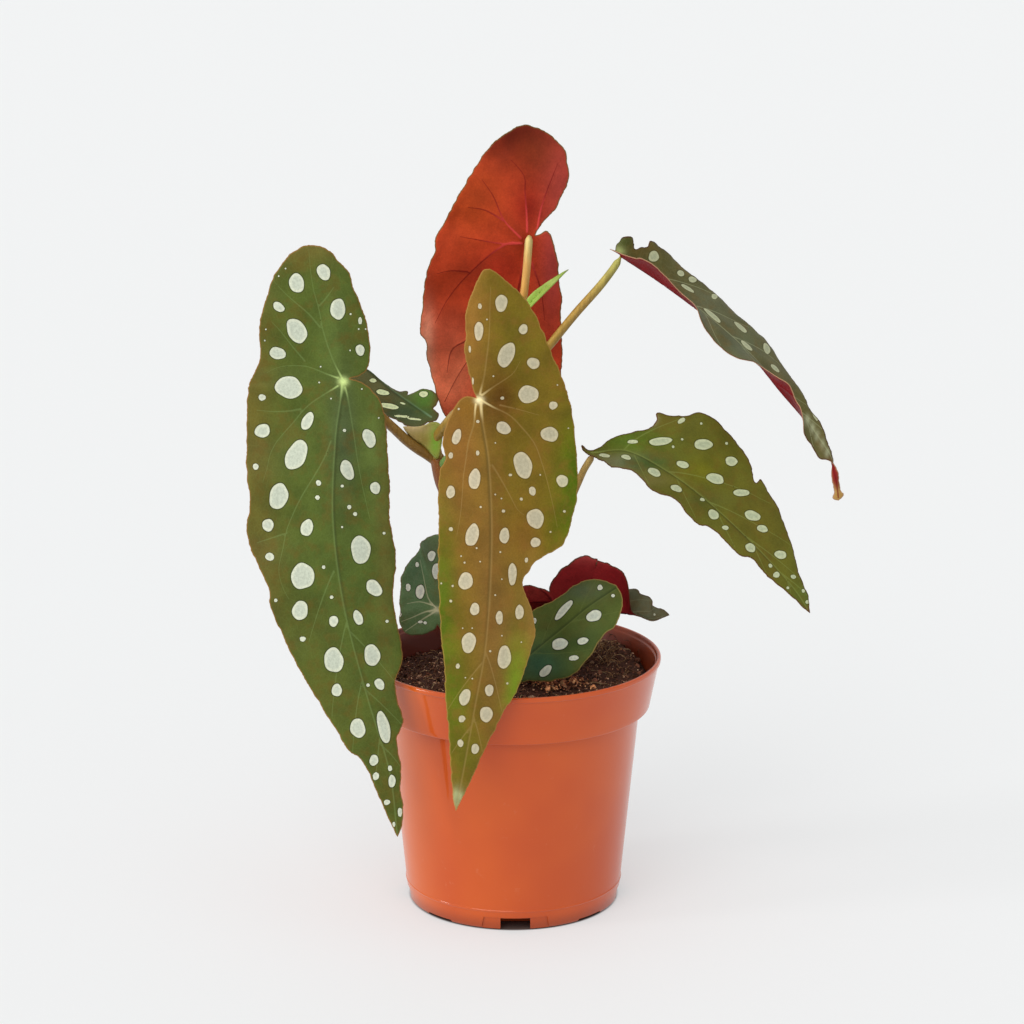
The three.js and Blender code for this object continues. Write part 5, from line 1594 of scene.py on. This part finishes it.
def soil():
    edge = BAND_FOOT_RADIUS - WALL - 0.4 + (SOIL_TOP - POT_HEIGHT + RIM_BAND) * RIM_LEAN
    heap = Heap(edge)
    rings, around = 46, 150
    points = [(0, 0, soil_height(0, 0))]
    for i in range(1, rings + 1):
        for k in range(around):
            x, y = turned(edge * i / rings, 0, 2 * math.pi * (k + 0.5 * (i % 2)) / around)
            points.append((x, y, soil_height(x, y)))
    points += [(x * 0.97, y * 0.97, POT_HEIGHT - RIM_BAND + 2) for x, y, _ in points[-around:]]
    faces = [(0, 1 + k, 1 + (k + 1) % around) for k in range(around)]
    shell = ring_faces(rings + 1, around) + end_faces(rings + 1, around)[1:]
    faces += [tuple(1 + k for k in (f[0], *f[:0:-1])) for f in shell]
    heap.add(points, faces, colour(SOIL_BROWN))
    add_crumbs(heap)
    add_fibres(heap)
    make_object("soil_crumbs", heap.points, heap.faces, "soil", [soil_mix()], np.array(heap.tones))


def ball(detail):
    """The points and faces of a ball of radius 1."""
    mesh = bmesh.new()
    bmesh.ops.create_icosphere(mesh, subdivisions=detail, radius=1)
    points = np.array([v.co[:] for v in mesh.verts])
    faces = [[v.index for v in f.verts] for f in mesh.faces]
    mesh.free()
    return points, faces


def add_crumbs(heap):
    """Crumbs of peat and bark, dark with a few light ones, and a paler heap in front."""
    draw = heap.draw
    small_ball, big_ball = ball(1), ball(2)
    front_x, front_y = FRONT_HEAP
    for i in range(CRUMBS):
        x, y = heap.spot(1.5)
        pale = math.hypot(x - front_x, y - front_y) < 10
        if i % 6 == 0:
            x, y = front_x + draw.gauss(0, 6), front_y + draw.gauss(0, 3.5)
            pale = True
        if math.hypot(x, y) > heap.edge - 1.5:
            continue
        big = draw.random() < BIG_CRUMBS
        size = draw.uniform(0.7, 1.3) if big else draw.uniform(0.2, 0.55)
        shape, faces = big_ball if big else small_ball
        axis = draw.uniform(0, 6.3), 3, Vector((draw.random(), draw.random(), 0.3))
        scale = np.array([draw.uniform(0.6, 1.3), draw.uniform(0.6, 1.2), draw.uniform(0.5, 0.9)]) * size
        uneven = [1 + noise.noise(Vector(p) * 1.7 + Vector((i, 0, 0))) * 0.6 for p in shape]
        lift = FRONT_HEAP_RISE * math.exp(-((x - front_x) ** 2 + (y - front_y) ** 2) / 90)
        body = (shape * np.array(uneven)[:, None] * scale) @ np.array(Matrix.Rotation(*axis)).T
        hues = HEAP_HUES if pale and draw.random() < 0.8 else SOIL_HUES
        tone = colour(draw.choice(hues)) * draw.uniform(0.9, 2.8)
        heap.add(body + (x, y, soil_height(x, y) + lift + size * 0.2), faces, tone)


def add_fibres(heap):
    """Fine light roots and fibres that lie on the soil, and a few that arch over it."""
    draw = heap.draw
    for i in range(FIBRES):
        x, y = heap.spot(3)
        if i % 4 == 0:
            x, y = draw.gauss(38, 6), draw.gauss(22, 9)
        arch = 0.5 if i % 12 else 2.2
        way = draw.uniform(0, 6.3)
        length = draw.uniform(2.5, 8)
        line = []
        for t in np.arange(FIBRE_POINTS) / (FIBRE_POINTS - 1):
            up = arch * math.sin(math.pi * t) + (arch * t if arch > 1 else 0)
            line.append((x, y, soil_height(x, y) + 0.5 + up))
            way += draw.uniform(-0.5, 0.5)
            x += math.cos(way) * length / (FIBRE_POINTS - 1)
            y += math.sin(way) * length / (FIBRE_POINTS - 1)
        if math.hypot(x, y) > heap.edge - 1:
            continue
        tone = colour(draw.choice(FIBRE_HUES))
        radius = draw.uniform(0.08, 0.2)
        points = []
        for centre in line:
            for turn in np.arange(3) * 2 * math.pi / 3:
                flat = radius * math.cos(turn)
                arm = (flat * math.sin(way), flat * math.cos(way), radius * math.sin(turn))
                points.append(np.add(centre, arm))
        heap.add(points, ring_faces(FIBRE_POINTS, 3) + end_faces(FIBRE_POINTS, 3), tone)


# Floor, light and camera


def aim(name, thing, at, ahead):
    """A light or camera at a place in metres, looking ahead."""
    holder = bpy.data.objects.new(name, thing)
    holder.location = at
    holder.rotation_mode = "QUATERNION"
    holder.rotation_quaternion = Vector(ahead).to_track_quat("-Z", "Y")
    bpy.context.scene.collection.objects.link(holder)
    return holder


def floor():
    """A pale floor that glows a little, except under the pot, where it is painted darker as painted shade."""
    mesh = bpy.data.meshes.new("floor")
    far = 14
    mesh.from_pydata([(-far, -far, 0), (far, -far, 0), (far, far, 0), (-far, far, 0)], [], [(0, 1, 2, 3)])
    plane = bpy.data.objects.new("floor", mesh)
    plane.location.z = -0.0002
    bpy.context.scene.collection.objects.link(plane)
    n = Nodes("floor")
    # painted shade under the pot: there the glow stops and the floor is painted darker
    clear = n.ramp(n.length(n.place()), (BASE_RADIUS - 1.5) * MM, (BASE_RADIUS + 0.2) * MM)
    glow = {"Emission_Color": FLOOR_GLOW_TINT, "Emission_Strength": n.times(clear, FLOOR_GLOW)}
    base = n.mix(clear, PAINTED_SHADE_UNDER_POT, FLOOR_GREY)
    mesh.materials.append(n.finish(base, Roughness=0.8, Specular_IOR_Level=0.1, **glow))


def sun(name, at, towards, power, spread, tint=(1, 1, 1)):
    lamp = bpy.data.lights.new(name, "SUN")
    lamp.energy = power
    lamp.color = tint
    lamp.angle = math.radians(spread)
    aim(name, lamp, at, Vector(towards) - Vector(at))


def studio():
    """Soft light from all round, a broad key light and a lower one from the left."""
    sun("key", (-1.0, -2.1, 2.4), (0, 0, 0.15), power=1.0, spread=42, tint=(1, 0.99, 0.97))
    sun("side", (-2.6, -0.7, 0.9), (0, 0, 0.12), power=0.72, spread=14)
    world = bpy.data.worlds.new("studio")
    world.use_nodes = True
    world.node_tree.nodes["Background"].inputs[0].default_value = (1, 1, 1, 1)
    world.node_tree.nodes["Background"].inputs[1].default_value = SKY_LIGHT
    scene = bpy.context.scene
    scene.world = world
    scene.view_settings.view_transform = "Standard"
    scene.view_settings.look = "None"


def stand_camera():
    camera = bpy.data.cameras.new("camera")
    camera.sensor_width = 36
    camera.lens = 36 * VIEW_FOCAL_PX / PHOTO_PX
    camera.clip_start, camera.clip_end = 0.05, 60
    bpy.context.scene.camera = aim("camera", camera, VIEW_FROM * MM, VIEW_AHEAD)


def plant():
    for key, data in LEAVES.items():
        look = LOOKS[key]
        first = {"first_vein": look["vein"], "first_under_vein": look["under_vein"]}
        leaf(key, data, PLAIN_LOOK | first | look)
        name = f"stalk_{key}"
        line = data["stalk"]["points"] + [Blade(data).under(STALK_END)]
        stem(f"{name}_skin", line, data["stalk"]["radii"], name, STEM_COLOURS[name], taper=3)
    for key, data in STEMS.items():
        name = f"cane_{key}"
        stem(f"{name}_skin", data["points"], data["radii"], name, STEM_COLOURS[name], 28)
    stem("bud_skin", BUD["points"], BUD["radii"], "bud_left", STEM_COLOURS["bud"], 16, 0.3)
    bract("sheath_skin", SHEATH, SHEATH_LOOK, "sheath_left")
    bract("bract_skin", BRACT, BRACT_LOOK, "bract_top")


STEM_SKIN = stem_skin("stem skin")
BRACT_SKIN = stem_skin("bract skin", 0.35)
pot()
soil()
plant()
floor()
studio()
stand_camera()

bpy.context.view_layer.update()
